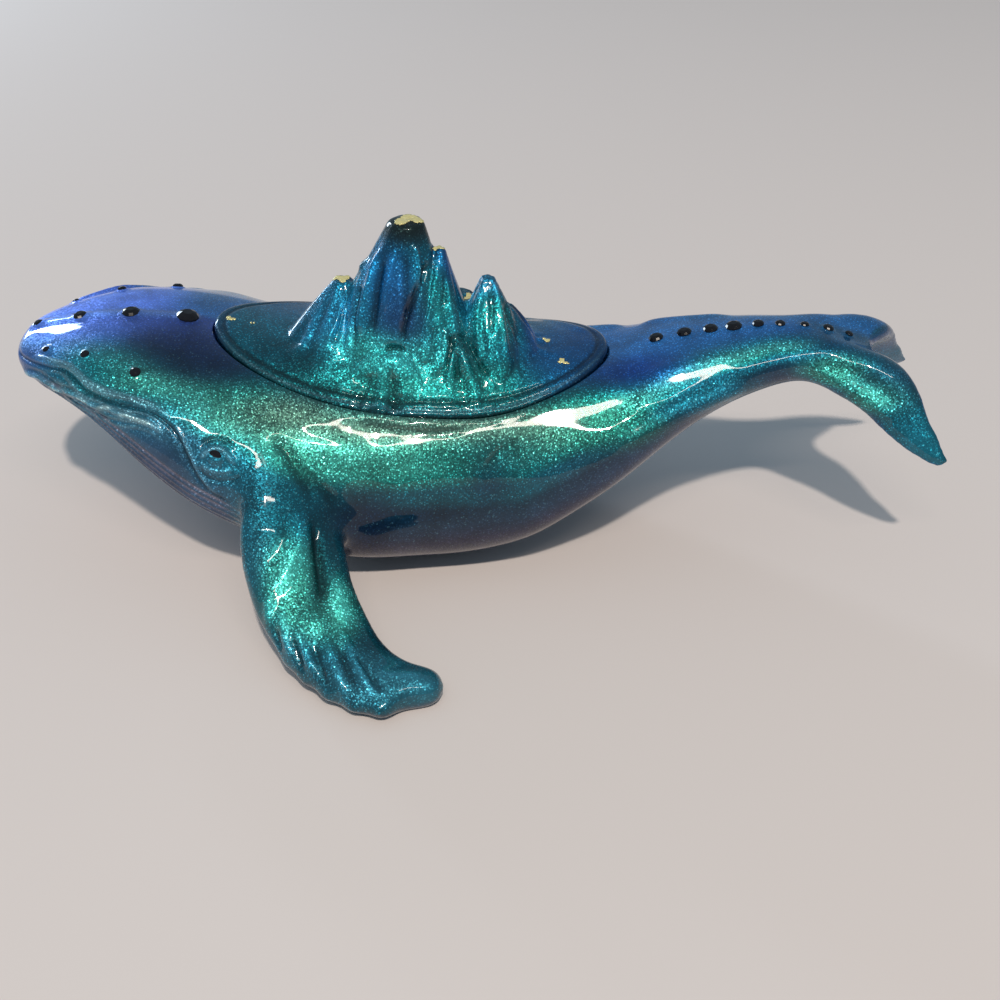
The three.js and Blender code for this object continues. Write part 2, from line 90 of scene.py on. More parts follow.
# The lid's seat and the bowl below it
LID_GAP = 0.4
LEDGE = 6.0
BOWL_FLOOR = 13.0
BOWL_FILLET = 13.0
lid_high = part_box("mountain_lid")[1] / MM
LID_HALF = (lid_high.x, lid_high.y)
SEAT_HALF = (LID_HALF[0] + LID_GAP, LID_HALF[1] + LID_GAP)
BOWL_HALF = (SEAT_HALF[0] - LEDGE, SEAT_HALF[1] - LEDGE)
SEAT_ROUNDING = 0.5
OPENING = 1.5
RIM_RAISE = 1.2
RIM_DROP = 0.6
RIM_REACH = 7.0
LID_ROUNDING = (1.4, 2.0)  # across and down
LID_DROOP = 2.2  # the plate's near edge hangs lower than the CAD's
LID_CUT = -1.7  # gap outside the lid's outline at which its rough edge is cut off
PLATE_LEVEL = 0.008  # of the plate's edge above the lid's lowest point, in metres
GROOVE_INSET = 2.9
GROOVE_DEPTH = 0.4
BEAD_INSET = 1.1

# The body's surface
COLLAR_HEIGHT = 0.38  # of resin round each gem
COLLAR_WIDTH = 1.1
UNEVENNESS = 0.02  # of the cast surface
LIMB_ROOTS = [((-27, 39, 33), (20, 7, 15)), ((106, 7, 56), (12, 6, 7))]  # centre, radii

# Colours, linear, of the pearl pigment as it turns from green to violet; several stand for painted sheen,
# highlights or reflections, as marked
# Pale mint where the pigment faces the key light: a painted sheen
MINT_SHEEN = (0.062, 0.43, 0.345)
GREEN = (0.012, 0.22, 0.195)
TEAL = (0.004, 0.09, 0.13)
LAGOON = (0.012, 0.195, 0.285)
TIDE = (0.032, 0.17, 0.24)
SLATE = (0.046, 0.13, 0.24)
DEEP_TEAL = (0.002, 0.038, 0.062)
CYAN = (0.018, 0.165, 0.3)
BLUE = (0.01, 0.09, 0.3)
# Cobalt of the head's top: pigment with a painted reflection of the sky
COBALT_AND_SKY_SHEEN = (0.115, 0.245, 0.94)
ROYAL = (0.004, 0.03, 0.26)
NAVY = (0.007, 0.013, 0.06)
VIOLET = (0.045, 0.07, 0.38)
PLUM = (0.036, 0.037, 0.075)
# Pale pink lines along the throat's pleats: painted highlights
PLEAT_HIGHLIGHT = (0.26, 0.23, 0.29)
GRAPE = (0.05, 0.06, 0.13)
# Pale blue along the lips' ridges and the lid's bead: a painted highlight
RIDGE_HIGHLIGHT = (0.15, 0.3, 0.37)
# Broken pale glints along the lower lip: painted highlights
GLINT_HIGHLIGHT = (0.45, 0.7, 0.75)
# Azure on surfaces that face up and on the tail's top: pigment with a painted reflection of the sky
AZURE_AND_SKY_SHEEN = (0.028, 0.185, 0.52)
# Warm beige along the roll below the lid: the painted glow round the key light's highlight
WARM_HIGHLIGHT_GLOW = (0.085, 0.125, 0.095)
OLIVE = (0.01, 0.012, 0.006)
# Painted highlight on ridges and painted shade in grooves
PAINTED_RELIEF_SHADING = 1.1  # how much paler ridges are, and darker grooves
LEAST_GRAIN = 0.32


# Mesh helpers

def read_rows(items, name, width=3, kind=float):
    """One property of all points, edges, corners or faces of a mesh, as rows."""
    values = np.empty(len(items) * width, kind)
    items.foreach_get(name, values)
    return values.reshape(-1, width)


def mesh_points(mesh):
    return read_rows(mesh.vertices, "co") / MM


def set_points(mesh, points):
    mesh.vertices.foreach_set("co", (points * MM).ravel())
    mesh.update()


def mesh_normals(mesh):
    return read_rows(mesh.vertices, "normal")


def mesh_edges(mesh):
    return read_rows(mesh.edges, "vertices", 2, np.int64)


def face_centres(mesh):
    return read_rows(mesh.polygons, "center") / MM


def open_mesh(mesh):
    bm = bmesh.new()
    bm.from_mesh(mesh)
    bm.faces.ensure_lookup_table()
    return bm


def close_mesh(bm, mesh):
    bm.to_mesh(mesh)
    bm.free()


def new_object(name, mesh):
    piece = bpy.data.objects.new(name, mesh)
    bpy.context.scene.collection.objects.link(piece)
    return piece


def new_piece(name, bm, material):
    mesh = bpy.data.meshes.new(name)
    close_mesh(bm, mesh)
    mesh.materials.append(material)
    return new_object(name, mesh)


def ramp(low, high, value):
    """0 at low, 1 at high, level beyond them and smooth between; low may be the larger."""
    share = np.clip((value - low) / (high - low), 0, 1)
    return share * share * (3 - 2 * share)


def dots(first, second):
    return (first * second).sum(-1)


def unit(rows):
    return rows / np.linalg.norm(rows, axis=1)[:, None]


def welded(name):
    """A CAD node's triangles on shared points, in millimetres, and the smooth normal at each corner."""
    bm = open_mesh(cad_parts[name].data)
    bmesh.ops.remove_doubles(bm, verts=bm.verts, dist=WELD)
    bmesh.ops.triangulate(bm, faces=bm.faces)
    points = np.array([v.co for v in bm.verts]) / MM
    faces = np.array([[v.index for v in f.verts] for f in bm.faces])
    bm.free()
    mesh = bpy.data.meshes.new("welded")
    mesh.from_pydata(points.tolist(), [], faces.tolist())
    mesh.shade_smooth()
    mesh.set_sharp_from_angle(angle=CREASE)
    normals = read_rows(mesh.corner_normals, "vector").reshape(-1, 3, 3)
    bpy.data.meshes.remove(mesh)
    return points, faces, normals


def rounded(points, name):
    """Moves points that lie on a CAD node's flat facets out to the curve that the facets stand for."""
    corners, faces, normals = welded(name)
    tree = BVHTree.FromPolygons(corners.tolist(), faces.tolist())
    hits = [tree.find_nearest(Vector(p)) for p in points.tolist()]
    foot = np.array([hit[0] for hit in hits])
    face = np.array([hit[2] for hit in hits])
    tri = corners[faces[face]]
    across = tri[:, 1] - tri[:, 0]
    along = tri[:, 2] - tri[:, 0]
    inside = foot - tri[:, 0]
    aa, ab, bb = dots(across, across), dots(across, along), dots(along, along)
    pa, pb = dots(inside, across), dots(inside, along)
    area = np.maximum(aa * bb - ab * ab, TINY)
    second = np.clip((bb * pa - ab * pb) / area, 0, 1)
    third = np.clip((aa * pb - ab * pa) / area, 0, 1)
    shares = np.stack([np.clip(1 - second - third, 0, 1), second, third], 1)
    normal = normals[face]
    height = dots(foot[:, None] - tri, normal)
    curve = (shares[..., None] * (foot[:, None] - height[..., None] * normal)).sum(1)
    move = BULGE * (curve - foot)
    length = np.maximum(np.linalg.norm(move, axis=1), TINY)
    return points + move * np.minimum(1, BULGE_LIMIT / length)[:, None]


def averaged(points, edges, weight, rounds):
    """Moves each point towards the mean of its neighbours, by its weight, again and again."""
    start, end = edges.T
    count = len(points)
    degree = np.bincount(start, minlength=count) + np.bincount(end, minlength=count)
    share = (weight / degree)[:, None]
    keep = (1 - weight)[:, None]
    for _ in range(rounds):
        total = np.stack([
            np.bincount(start, points[end, k], count) + np.bincount(end, points[start, k], count)
            for k in range(3)
        ], 1)
        points = keep * points + share * total
    return points


def relaxed(mesh, weight, rounds):
    """Smooths a mesh, and gives back most of what thin parts lose by it."""
    edges = mesh_edges(mesh)
    points = mesh_points(mesh)
    smooth = averaged(points, edges, weight, rounds)
    set_points(mesh, smooth + averaged(points - smooth, edges, weight, rounds))


def refined(mesh, chosen):
    """Splits the chosen faces into quarters."""
    bm = open_mesh(mesh)
    edges = dict.fromkeys(edge for i in np.where(chosen)[0] for edge in bm.faces[i].edges)
    bmesh.ops.subdivide_edges(bm, edges=list(edges), cuts=1, use_grid_fill=True)
    close_mesh(bm, mesh)


def near_side(points):
    """Points mirrored onto the side of the midline that the lists below give, with y as a distance."""
    return np.column_stack([points[:, 0], np.abs(points[:, 1]), points[:, 2]])


def waves(points, size, count):
    """A gentle unevenness between -1 and 1 or so: waves about size long, running all ways."""
    total = np.zeros(len(points))
    for _ in range(count):
        way = RANDOM.normal(size=3)
        way = way / np.linalg.norm(way) * 2 * math.pi / (size * RANDOM.uniform(0.7, 1.4))
        total += np.sin(points @ way + RANDOM.uniform(0, 2 * math.pi))
    return total / math.sqrt(count)


def remeshed(piece, voxel):
    """Gives a piece a fine even mesh of the same shape, and returns that mesh."""
    change = piece.modifiers.new("Remesh", "REMESH")
    change.mode = "VOXEL"
    change.voxel_size = voxel * MM
    ready = piece.evaluated_get(bpy.context.evaluated_depsgraph_get())
    mesh = bpy.data.meshes.new_from_object(ready)
    old = piece.data
    piece.modifiers.clear()
    piece.data = mesh
    bpy.data.meshes.remove(old)
    mesh.materials.clear()
    return mesh


# Ovals: the lid, its seat and the bowl

def oval_gap(points, half):
    """Signed distance outside an oval with these half axes, about."""
    x, y, _ = points.T
    scaled = np.hypot(x / half[0], y / half[1])
    slope = np.hypot(x / half[0] ** 2, y / half[1] ** 2) / np.maximum(scaled, 1e-3)
    return (scaled - 1) / np.maximum(slope, 1e-3)


def oval_points(half, gap, turn):
    return (half[0] + gap) * np.cos(turn), (half[1] + gap) * np.sin(turn)


def oval_rings(turn, rings):
    """Rings of corners from rings of half axes, gap outside them and height."""
    return [(*oval_points(half, gap, turn), height + 0 * turn) for half, gap, height in rings]


def oval_heights(tree, half, gap, turn, up=False):
    """Heights round an oval where upright rays meet a surface, smoothed along it."""
    even = np.linspace(0, 2 * math.pi, OVAL_RAYS, endpoint=False)
    start, way = (-RAY_START, 1) if up else (RAY_START, -1)
    spots = zip(*oval_points(half, gap, even))
    hits = [tree.ray_cast(Vector((x * MM, y * MM, start)), Vector((0, 0, way)))[0] for x, y in spots]
    heights = np.array([hit.z for hit in hits]) / MM
    kept = np.exp(-0.5 * (np.arange(OVAL_RAYS // 2 + 1) / OVAL_WAVES) ** 2)
    heights = np.fft.irfft(np.fft.rfft(heights) * kept, OVAL_RAYS)
    return np.interp(turn, even, heights, period=2 * math.pi)


def flooded(start, allowed):
    """The faces that connect to the first one through corners that are all allowed."""
    found = {start}
    waiting = [start]
    while waiting:
        for edge in waiting.pop().edges:
            for face in edge.link_faces:
                if face not in found and all(allowed[v.index] for v in face.verts):
                    found.add(face)
                    waiting.append(face)
    return list(found)


def open_loops(bm):
    """The corners along each of the two longest open borders, in order."""
    links = {}
    for edge in bm.edges:
        if edge.is_boundary:
            for vert in edge.verts:
                links.setdefault(vert, []).append(edge.other_vert(vert))
    loops = []
    while links:
        loop = [next(iter(links))]
        while loop[-1] in links:
            following = [v for v in links.pop(loop[-1]) if v in links]
            if not following:
                break
            loop.append(following[0])
        loops.append(loop)
    return sorted(loops, key=len)[-2:]


def snap_loop(bm, loop, tree, half, gap, up=False):
    """Puts a border on an oval, at the height of a surface there, and joins corners that meet."""
    turn = loop_turns(loop, half, gap)
    heights = oval_heights(tree, half, gap, turn, up)
    for vert, spot in zip(loop, zip(*oval_points(half, gap, turn), heights)):
        vert.co = Vector(spot) * MM
    bmesh.ops.remove_doubles(bm, verts=loop, dist=BORDER_WELD * MM)


def loop_turns(loop, half, gap):
    return np.array([math.atan2(v.co.y / (half[1] + gap), v.co.x / (half[0] + gap)) for v in loop])


def add_rings(bm, loop, rings, scale=MM):
    """Continues a border with rings of as many corners, and returns the last one."""
    for x, y, z in rings:
        ring = [bm.verts.new(Vector(spot) * scale) for spot in zip(x, y, z)]
        for i, vert in enumerate(loop):
            bm.faces.new((loop[i - 1], vert, ring[i], ring[i - 1]))
        loop = ring
    return loop


# Carving

def spline(points):
    """A smooth line through points, as many more points."""
    p = np.asarray(points, float)
    p = np.vstack([2 * p[0] - p[1], p, 2 * p[-1] - p[-2]])
    line = []
    for i in range(1, len(p) - 2):
        for t in np.arange(SPLINE_STEPS) / SPLINE_STEPS:
            line.append(0.5 * (
                2 * p[i] + (p[i + 1] - p[i - 1]) * t
                + (2 * p[i - 1] - 5 * p[i] + 4 * p[i + 1] - p[i + 2]) * t ** 2
                + (3 * p[i] - p[i - 1] - 3 * p[i + 1] + p[i + 2]) * t ** 3
            ))
    line.append(p[-2])
    return np.array(line)


def traced(places, points, width, reach, fade):
    """Presses a line onto the surface: the places near it, their offset, its run and its strength there."""
    line = spline(points)
    near = np.where(((places > line.min(0) - reach) & (places < line.max(0) + reach)).all(1))[0]
    local = places[near]
    for i, point in enumerate(line):
        line[i] = local[np.argmin(((local - point) ** 2).sum(1))]
    for _ in range(3):
        line[1:-1] = (line[:-2] + line[1:-1] + line[2:]) / 3
    best = np.full(len(near), reach)
    share = np.zeros(len(near))
    offset = np.full((len(near), 3), reach)
    way = np.ones((len(near), 3))
    for i in range(len(line) - 1):
        run = line[i + 1] - line[i]
        t = np.clip(((local - line[i]) @ run) / max(run @ run, TINY), 0, 1)
        apart = local - line[i] - t[:, None] * run
        gap = np.linalg.norm(apart, axis=1)
        closer = gap < best
        best[closer] = gap[closer]
        share[closer] = (i + t[closer]) / (len(line) - 1)
        offset[closer] = apart[closer]
        way[closer] = run
    ends = ramp(0, fade, share) * ramp(0, fade, 1 - share)
    return near, offset, way, np.exp(-dots(offset, offset) / width ** 2) * ends * (best < reach)


def stroke(places, height, points, width, fade):
    """Adds a ridge, or a groove where height is below 0, along a line."""
    near, _, _, strength = traced(places, points, width, 3.5 * width, fade)
    lift = np.zeros(len(places))
    lift[near] = height * strength
    return lift


def turned(places, points, width, fade):
    """Turns the surface along a line towards the slope at which it shines in the strip light."""
    near, offset, way, strength = traced(places, points, width, 3 * width, fade)
    eye = np.array(CAMERA_BACK) * CAMERA_DISTANCE + np.array(CAMERA_TARGET)
    eye = unit(eye * MIRROR - places[near])
    way = unit(way)
    lamp = np.tile(np.array(Vector(STRIP_WAY).normalized()) * MIRROR, (len(near), 1))
    lamp[:, 0] -= dots(eye + lamp, way) / way[:, 0]
    slope = eye + unit(lamp)
    slope = unit(slope - dots(slope, way)[:, None] * way)
    lift = np.zeros(len(places))
    lift[near] = -dots(offset, slope) * strength
    return lift


def bump(places, height, centre, radii):
    gap = (places - np.array(centre)) / np.array(radii)
    return height * np.exp(-dots(gap, gap))


# Whale body. Lines and places are on the near side as (x, distance from the midline, z).

AXIS = [
    (-107, 53), (-96, 53), (-81, 50.2), (-69, 43.4), (-61, 38.5), (-51, 33.2), (-39, 27), (-24, 21.4),
    (0, 18.5), (31, 20.9), (56, 34.5), (76, 48.2), (96, 55.6), (124, 57),
]

MOUTH = [
    (-105.5, 7, 56), (-103.3, 11.5, 56.2), (-95.6, 18, 57.4), (-88.8, 22, 58), (-85.3, 24.7, 57.3),
    (-81.6, 28.2, 55.8), (-77.6, 30.1, 54.9), (-71.5, 31.8, 54), (-65.3, 33, 53), (-60.7, 34.4, 51.4),
    (-57.2, 36.6, 49), (-54.8, 39, 45.5), (-53, 41, 41.5), (-50.7, 42.4, 37.8), (-47.4, 42.9, 34.3),
    (-43, 43.2, 32),
]
JAW_EDGE = [
    (-58, 35, 51.4), (-55.4, 38, 48.2), (-53.2, 40.2, 44.2), (-51, 42, 39.8), (-48.6, 43, 36),
    (-45.4, 43.3, 33),
]
UPPER_LIP = [
    (-99.4, 14.1, 57.9), (-96, 16.1, 58.6), (-92.3, 18.3, 59), (-89.1, 20.4, 59.2), (-86.1, 22.3, 59),
    (-82.6, 25.2, 57.9), (-79, 27.4, 57.2), (-74, 29, 56.8),
]
UPPER_LIP_2 = [
    (-101.6, 13.2, 56.9), (-97.4, 16.2, 57.5), (-92, 19.6, 58), (-88, 21.6, 58.4), (-84.6, 24.2, 57.9),
    (-80.4, 27.4, 56.6), (-75.6, 29.6, 55.8), (-70, 31, 55.4),
]
LOWER_LIP = [
    (-104.6, 10.6, 52.6), (-101.1, 15.2, 53.2), (-96.6, 19.6, 54.6), (-93.2, 22.2, 54.2),
    (-91.3, 23.8, 53.4), (-87.5, 26.2, 54.3), (-83.1, 28.6, 53.8), (-80.3, 30.2, 53.3), (-77.6, 31.2, 53),
    (-74.9, 31.9, 53.3), (-72.7, 32.9, 52.3), (-69.3, 33.8, 51.9), (-65.9, 34.6, 51.1), (-63, 35.4, 50.2),
    (-59.7, 37, 48),
]
LOWER_LIP_2 = [
    (-103.4, 12.8, 54.4), (-98.6, 17.4, 55.6), (-94.4, 20.6, 55.8), (-90.6, 23.2, 54.9),
    (-86.6, 25.8, 55.3), (-82, 28.6, 54.6), (-77.6, 30.8, 54), (-72, 32.6, 53.2), (-66.6, 33.8, 52.2),
    (-61.6, 35.4, 50.2),
]
CHIN = [
    (-105, 9.2, 51.2), (-100, 16, 51.4), (-94, 21.8, 51.8), (-88, 26, 52), (-82, 29.2, 51.6),
    (-76.6, 31.6, 50.8), (-71, 33.6, 50),
]
EYE_TOP = [
    (-50.9, 40.2, 43.6), (-49.6, 39.2, 44.9), (-47.2, 38.3, 45.6), (-45.1, 38.3, 45), (-43.5, 39, 43.5),
    (-41.1, 39.9, 41.4),
]
EYE_FOLD = [
    (-51.4, 39, 45.6), (-49.6, 37.6, 47), (-46.9, 36.8, 47.5), (-44.2, 37, 46.7), (-41.6, 38.1, 44.5),
]
EYE_BOTTOM = [
    (-50.9, 40.6, 43.1), (-49.4, 41.1, 41.3), (-47, 41.3, 40.6), (-44.6, 41.1, 40.4), (-42.2, 40.6, 41),
]
EYE_POUCH = [
    (-52, 41, 42), (-50.6, 41.7, 40.4), (-49.1, 41.9, 39.3), (-46.7, 42.1, 38.3), (-43.9, 42, 38.2),
    (-41.5, 41.6, 38.8), (-40.1, 40.8, 40),
]
CREST = [(-105.4, 0, 58), (-101, 0, 60), (-90, 0, 62.2), (-76, 0, 63.4), (-62, 0, 62.8), (-57, 0, 61.8)]
FLANK_CREASE = [(27.6, 28.3, 43.4), (25, 30, 41.3), (22.5, 31.6, 38.6), (20.5, 33.4, 34.8)]
SHOULDER_RIDGE = [
    (-37, 33.6, 47.3), (-34.8, 33.8, 47), (-30, 33.7, 46.2), (-24.9, 33.7, 45.1), (-19.8, 33.8, 44),
    (-13.9, 34.2, 42.6), (-7.8, 34.5, 41.1),
]
SHOULDER_FOLD = [
    (-33.5, 32.4, 47), (-31.5, 34.7, 45), (-28.3, 37, 42), (-26.1, 39.6, 38.5), (-23.6, 40.8, 35.3),
    (-22.6, 44.2, 31.8),
]
SHOULDER_FOLD_2 = [(-25.8, 36.7, 41.8), (-22.2, 39.1, 36.4), (-18.8, 39.7, 32.8), (-16.7, 40.7, 27.3)]
TAIL_TOP = [(62, 17.4, 54), (67.6, 16.8, 55.2), (74.1, 15.7, 56.5), (81.9, 14, 58.1), (89, 12.6, 59.4)]
FLUKE_RIDGE = [
    (105, 9.6, 58.8), (109.6, 11.6, 57.6), (114.6, 14.1, 55.8), (119.7, 16.5, 53.4), (124.8, 19, 50.7),
    (129, 21, 48),
]
BACK_ROLL = [
    (-24, 30, 49.4), (-16.1, 30.8, 47.7), (-6.4, 30.4, 46.4), (7.4, 29.3, 46.1), (15.9, 27.8, 46.5),
    (24.4, 25.9, 47.6), (35.3, 24.7, 48.1), (46.4, 23.2, 48.9), (56.5, 20.2, 51.4), (60, 19, 52.4),
]
TAIL_LINE = [
    (54, 27.6, 43.6), (57.4, 26.8, 44.6), (62.5, 25.1, 46.5), (68.2, 23, 48.3), (72.9, 21.2, 50.1),
    (77.3, 19.7, 51.6), (81.9, 18.2, 53.3), (86.4, 17, 54.5), (89.7, 15.8, 55.9),
]

# Fine lines along the lips: shift in height from the mouth's line, height of the ridge
LIP_LINES = [(4.4, 0.3), (3.3, 0.4), (2.2, 0.4), (-1.4, 0.45), (-2.6, 0.35), (-3.8, 0.4), (-5, 0.3)]
LIP_LINE_WIDTH = 0.42
LIP_WAVER = 0.4

# Each stroke on the body: line, height, width, share of its length that fades in and out
BODY_STROKES = [
    (MOUTH, -0.7, 0.4, 0.05),
    (JAW_EDGE, 0.5, 0.5, 0.2),
    (UPPER_LIP, 0.55, 0.5, 0.2),
    (UPPER_LIP_2, 0.45, 0.5, 0.2),
    (LOWER_LIP, 1.05, 0.6, 0.1),
    (LOWER_LIP_2, -0.5, 0.5, 0.15),
    (CHIN, -0.5, 0.45, 0.2),
    (EYE_TOP, 0.75, 0.55, 0.15),
    (EYE_FOLD, -0.5, 0.5, 0.3),
    (EYE_BOTTOM, 0.4, 0.5, 0.2),
    (EYE_POUCH, -0.45, 0.6, 0.15),
    (FLANK_CREASE, -0.7, 0.8, 0.35),
    (CREST, 0.42, 1.5, 0.1),
    (SHOULDER_RIDGE, 0.4, 2.4, 0.3),
    (SHOULDER_FOLD, -0.9, 1.5, 0.3),
    (SHOULDER_FOLD_2, -0.8, 1.3, 0.35),
]

# Angles from straight down of the throat's pleats, at the chin and at the flipper
PLEATS = [
    (96.7, 91.8), (93.3, 89.4), (90.3, 86), (86.6, 82), (82.2, 77.4), (77, 72), (71, 66), (64.4, 59.4),
    (57, 52), (49, 44), (40, 35.6), (30.6, 27), (20.6, 18), (10.4, 9), (0, 0),
]
PLEAT_FRONT = -97.0
PLEAT_REAR = -43.0
PLEAT_DEPTH = 0.7
PLEAT_WIDTH = 0.55
PLEAT_TOP = (99, 95.5)  # degrees between which the pleats begin
PLEAT_UNDER = (84, 60)  # degrees between which they turn wide and long

# Lines that shine in the photograph: line, width, share of its length that fades in and out
SHINING = [
    (BACK_ROLL, 4.2, 0.15),
    (SHOULDER_RIDGE, 2.4, 0.2),
    (TAIL_TOP, 3.6, 0.25),
    (TAIL_LINE, 2.2, 0.2),
    (FLUKE_RIDGE, 2.6, 0.25),
]

# Flipper
RIDGE_FRONT = [
    (-27, 44, 33.6), (-24.3, 50.3, 28.3), (-25.6, 54.8, 25.6), (-28, 60.7, 22.1), (-29.4, 65.1, 18.9),
]
FLIPPER_GROOVE = [
    (-23, 44, 31), (-21.1, 50.3, 26.2), (-19.6, 56.6, 21.8), (-18.6, 61.5, 18.9), (-18.6, 67.3, 16.2),
]
RIDGE_REAR = [(-15.6, 54, 20.6), (-14.6, 60, 18), (-13.6, 65, 15.4), (-11.6, 71.7, 13)]
FINGERS = [
    [(-31, 62, 17.6), (-30.5, 69.6, 13.2)],
    [(-28.3, 67, 17), (-27.3, 70.5, 14.8), (-25.7, 74.6, 11.8), (-24.2, 77.4, 9.2)],
    [(-23.6, 71, 15.4), (-22.7, 74.1, 13.2), (-20.1, 78.3, 10.4), (-18, 81.8, 7.8)],
    [(-17, 72, 14.2), (-14.9, 77.4, 11.4), (-12.5, 82.1, 9.2), (-10.1, 87.3, 5.6)],
    [(-13.6, 70, 14), (-11.7, 73.1, 12.6), (-8.8, 77.8, 10.6), (-5.5, 83.7, 8.5), (-2.9, 88.4, 6)],
]
TIP_RIDGE = [(-4, 80.4, 9.9), (0.1, 81, 8.8), (5, 80.4, 8.2), (9.1, 80, 7.6)]
FINGER_GROOVES = [
    [(-29.4, 70, 14), (-27.4, 75.6, 9.6)],
    [(-25, 73, 14), (-23, 77, 10.8), (-21, 80.6, 7.6)],
    [(-19.6, 74.6, 13), (-17.4, 79.4, 10), (-14.6, 84.6, 6.6)],
    [(-13.2, 74, 12.8), (-10.6, 80.4, 10), (-7.4, 86, 6.8)],
    [(-10.6, 74.6, 12), (-6.6, 79.8, 9.9), (-3.4, 83.6, 8.5), (-0.5, 86.1, 7)],
]
FLIPPER_STROKES = (
    [(RIDGE_FRONT, 1.3, 2.4, 0.35), (FLIPPER_GROOVE, -1.3, 1.5, 0.3), (RIDGE_REAR, 1.2, 2.4, 0.35),
     (TIP_RIDGE, 0.5, 1.8, 0.4)]
    + [(line, 0.75, 1.25, 0.3) for line in FINGERS]
    + [(line, -0.7, 0.8, 0.3) for line in FINGER_GROOVES]
)

# Soft swellings: height, centre, radii
BODY_SWELLINGS = [
    (0.7, (-20.4, 70, 15.5), (3.2, 3.2, 3)),
    (0.6, (-17.7, 70, 15), (2, 3, 3)),
    (0.8, (-33, 52, 30), (5, 5, 5)),
    (0.9, (-31.8, 63, 18.4), (3.4, 3.4, 3.4)),
    (0.7, (-46.9, 40.2, 43.2), (3.6, 3, 2.4)),
    (0.9, (-38, 36, 47), (10, 6, 7)),
    (0.8, (-57, 33, 53.5), (9, 5, 5)),
    (-0.7, (-12, 40, 30), (7, 5, 6)),
    (1.5, (111, 8, 60), (9, 5, 4)),
]


def belly_angle(places):
    """Degrees round the trunk from straight down, and the distance from its axis."""
    height = np.interp(places[:, 0], *np.array(AXIS, float).T) - places[:, 2]
    return np.degrees(np.arctan2(places[:, 1], height)), np.hypot(places[:, 1], height)


def limbs(x, y, flipper, fluke):
    """1 on the flippers and flukes and 0 on the trunk; both ranges say where it turns."""
    return np.maximum(ramp(*flipper, y), ramp(*fluke, x))


def pleats(places):
    x = places[:, 0]
    angle, radius = belly_angle(places)
    share = np.clip((x - PLEAT_FRONT) / (PLEAT_REAR - PLEAT_FRONT), 0, 1)
    gap = np.full(len(places), 1e3)
    for front, rear in PLEATS:
        gap = np.minimum(gap, np.abs(angle - front - (rear - front) * share))
    gap = np.radians(gap) * radius
    under = ramp(*PLEAT_UNDER, angle)
    width = PLEAT_WIDTH * (1 + 1.2 * under)
    rear_end = PLEAT_REAR + 20 * under
    fade = ramp(PLEAT_FRONT - 5, PLEAT_FRONT + 6, x) * ramp(rear_end + 3, rear_end - 5, x)
    return -PLEAT_DEPTH * fade * ramp(*PLEAT_TOP, angle) * np.exp(-(gap / width) ** 2)


def gem_seats(points):
    """Raises the casting under each gem, so that the gem sits in a low collar of resin."""
    lift = np.zeros(len(points))
    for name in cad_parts:
        if "_gem_" in name:
            low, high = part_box(name)
            gap = np.linalg.norm(points - np.array((low + high) / 2) / MM, axis=1)
            radius = max(high - low) / 2 / MM
            lift += COLLAR_HEIGHT * ramp(radius + COLLAR_WIDTH, radius + 0.1, gap)
    return lift


def carved_zone(centres):
    """True where the body has fine detail: the sides of the head, the outer flippers and the flukes."""
    side = near_side(centres)
    x, y, z = side.T
    return ((x < -36) & (z < 61) & (y > 3) & (belly_angle(side)[0] > 58)) | (y > 46) | (x > 104)


def lean_back(points):
    """Raises the back round the lid on the near side and lowers it on the far side, as on the cast one."""
    gap = np.maximum(oval_gap(points, SEAT_HALF), 0)
    side = np.clip(-points[:, 1] / 20, -1, 1)
    most = np.where(side > 0, RIM_RAISE, RIM_DROP)
    lift = most * side * np.exp(-(gap / RIM_REACH) ** 2) * (points[:, 2] > 25)
    return points + np.outer(lift, (0, 0, 1))


def shine_lines(mesh):
    """Gives the long roll below the lid, the shoulder and the tail the slopes of their long highlights."""
    points = mesh_points(mesh)
    places = near_side(points)
    lift = sum(turned(places, *line) for line in SHINING)
    lift *= ramp(OPENING, OPENING + 1.5, oval_gap(points, SEAT_HALF))
    set_points(mesh, points + lift[:, None] * mesh_normals(mesh))


def open_recess(mesh):
    """Cuts out the rough seat and bowl, and smooths the back round the opening."""
    bm = open_mesh(mesh)
    skin = BVHTree.FromBMesh(bm)
    middle = skin.ray_cast(Vector((0, 0, RAY_START)), Vector((0, 0, -1)))[2]
    inside = oval_gap(mesh_points(mesh), SEAT_HALF) < OPENING
    bmesh.ops.delete(bm, geom=flooded(bm.faces[middle], inside), context="FACES")
    snap_loop(bm, open_loops(bm)[-1], skin, SEAT_HALF, OPENING)
    close_mesh(bm, mesh)
    gap = oval_gap(mesh_points(mesh), SEAT_HALF)
    relaxed(mesh, 0.5 * ramp(OPENING, OPENING + 0.8, gap) * ramp(12, 7, gap), BACK_ROUNDS)


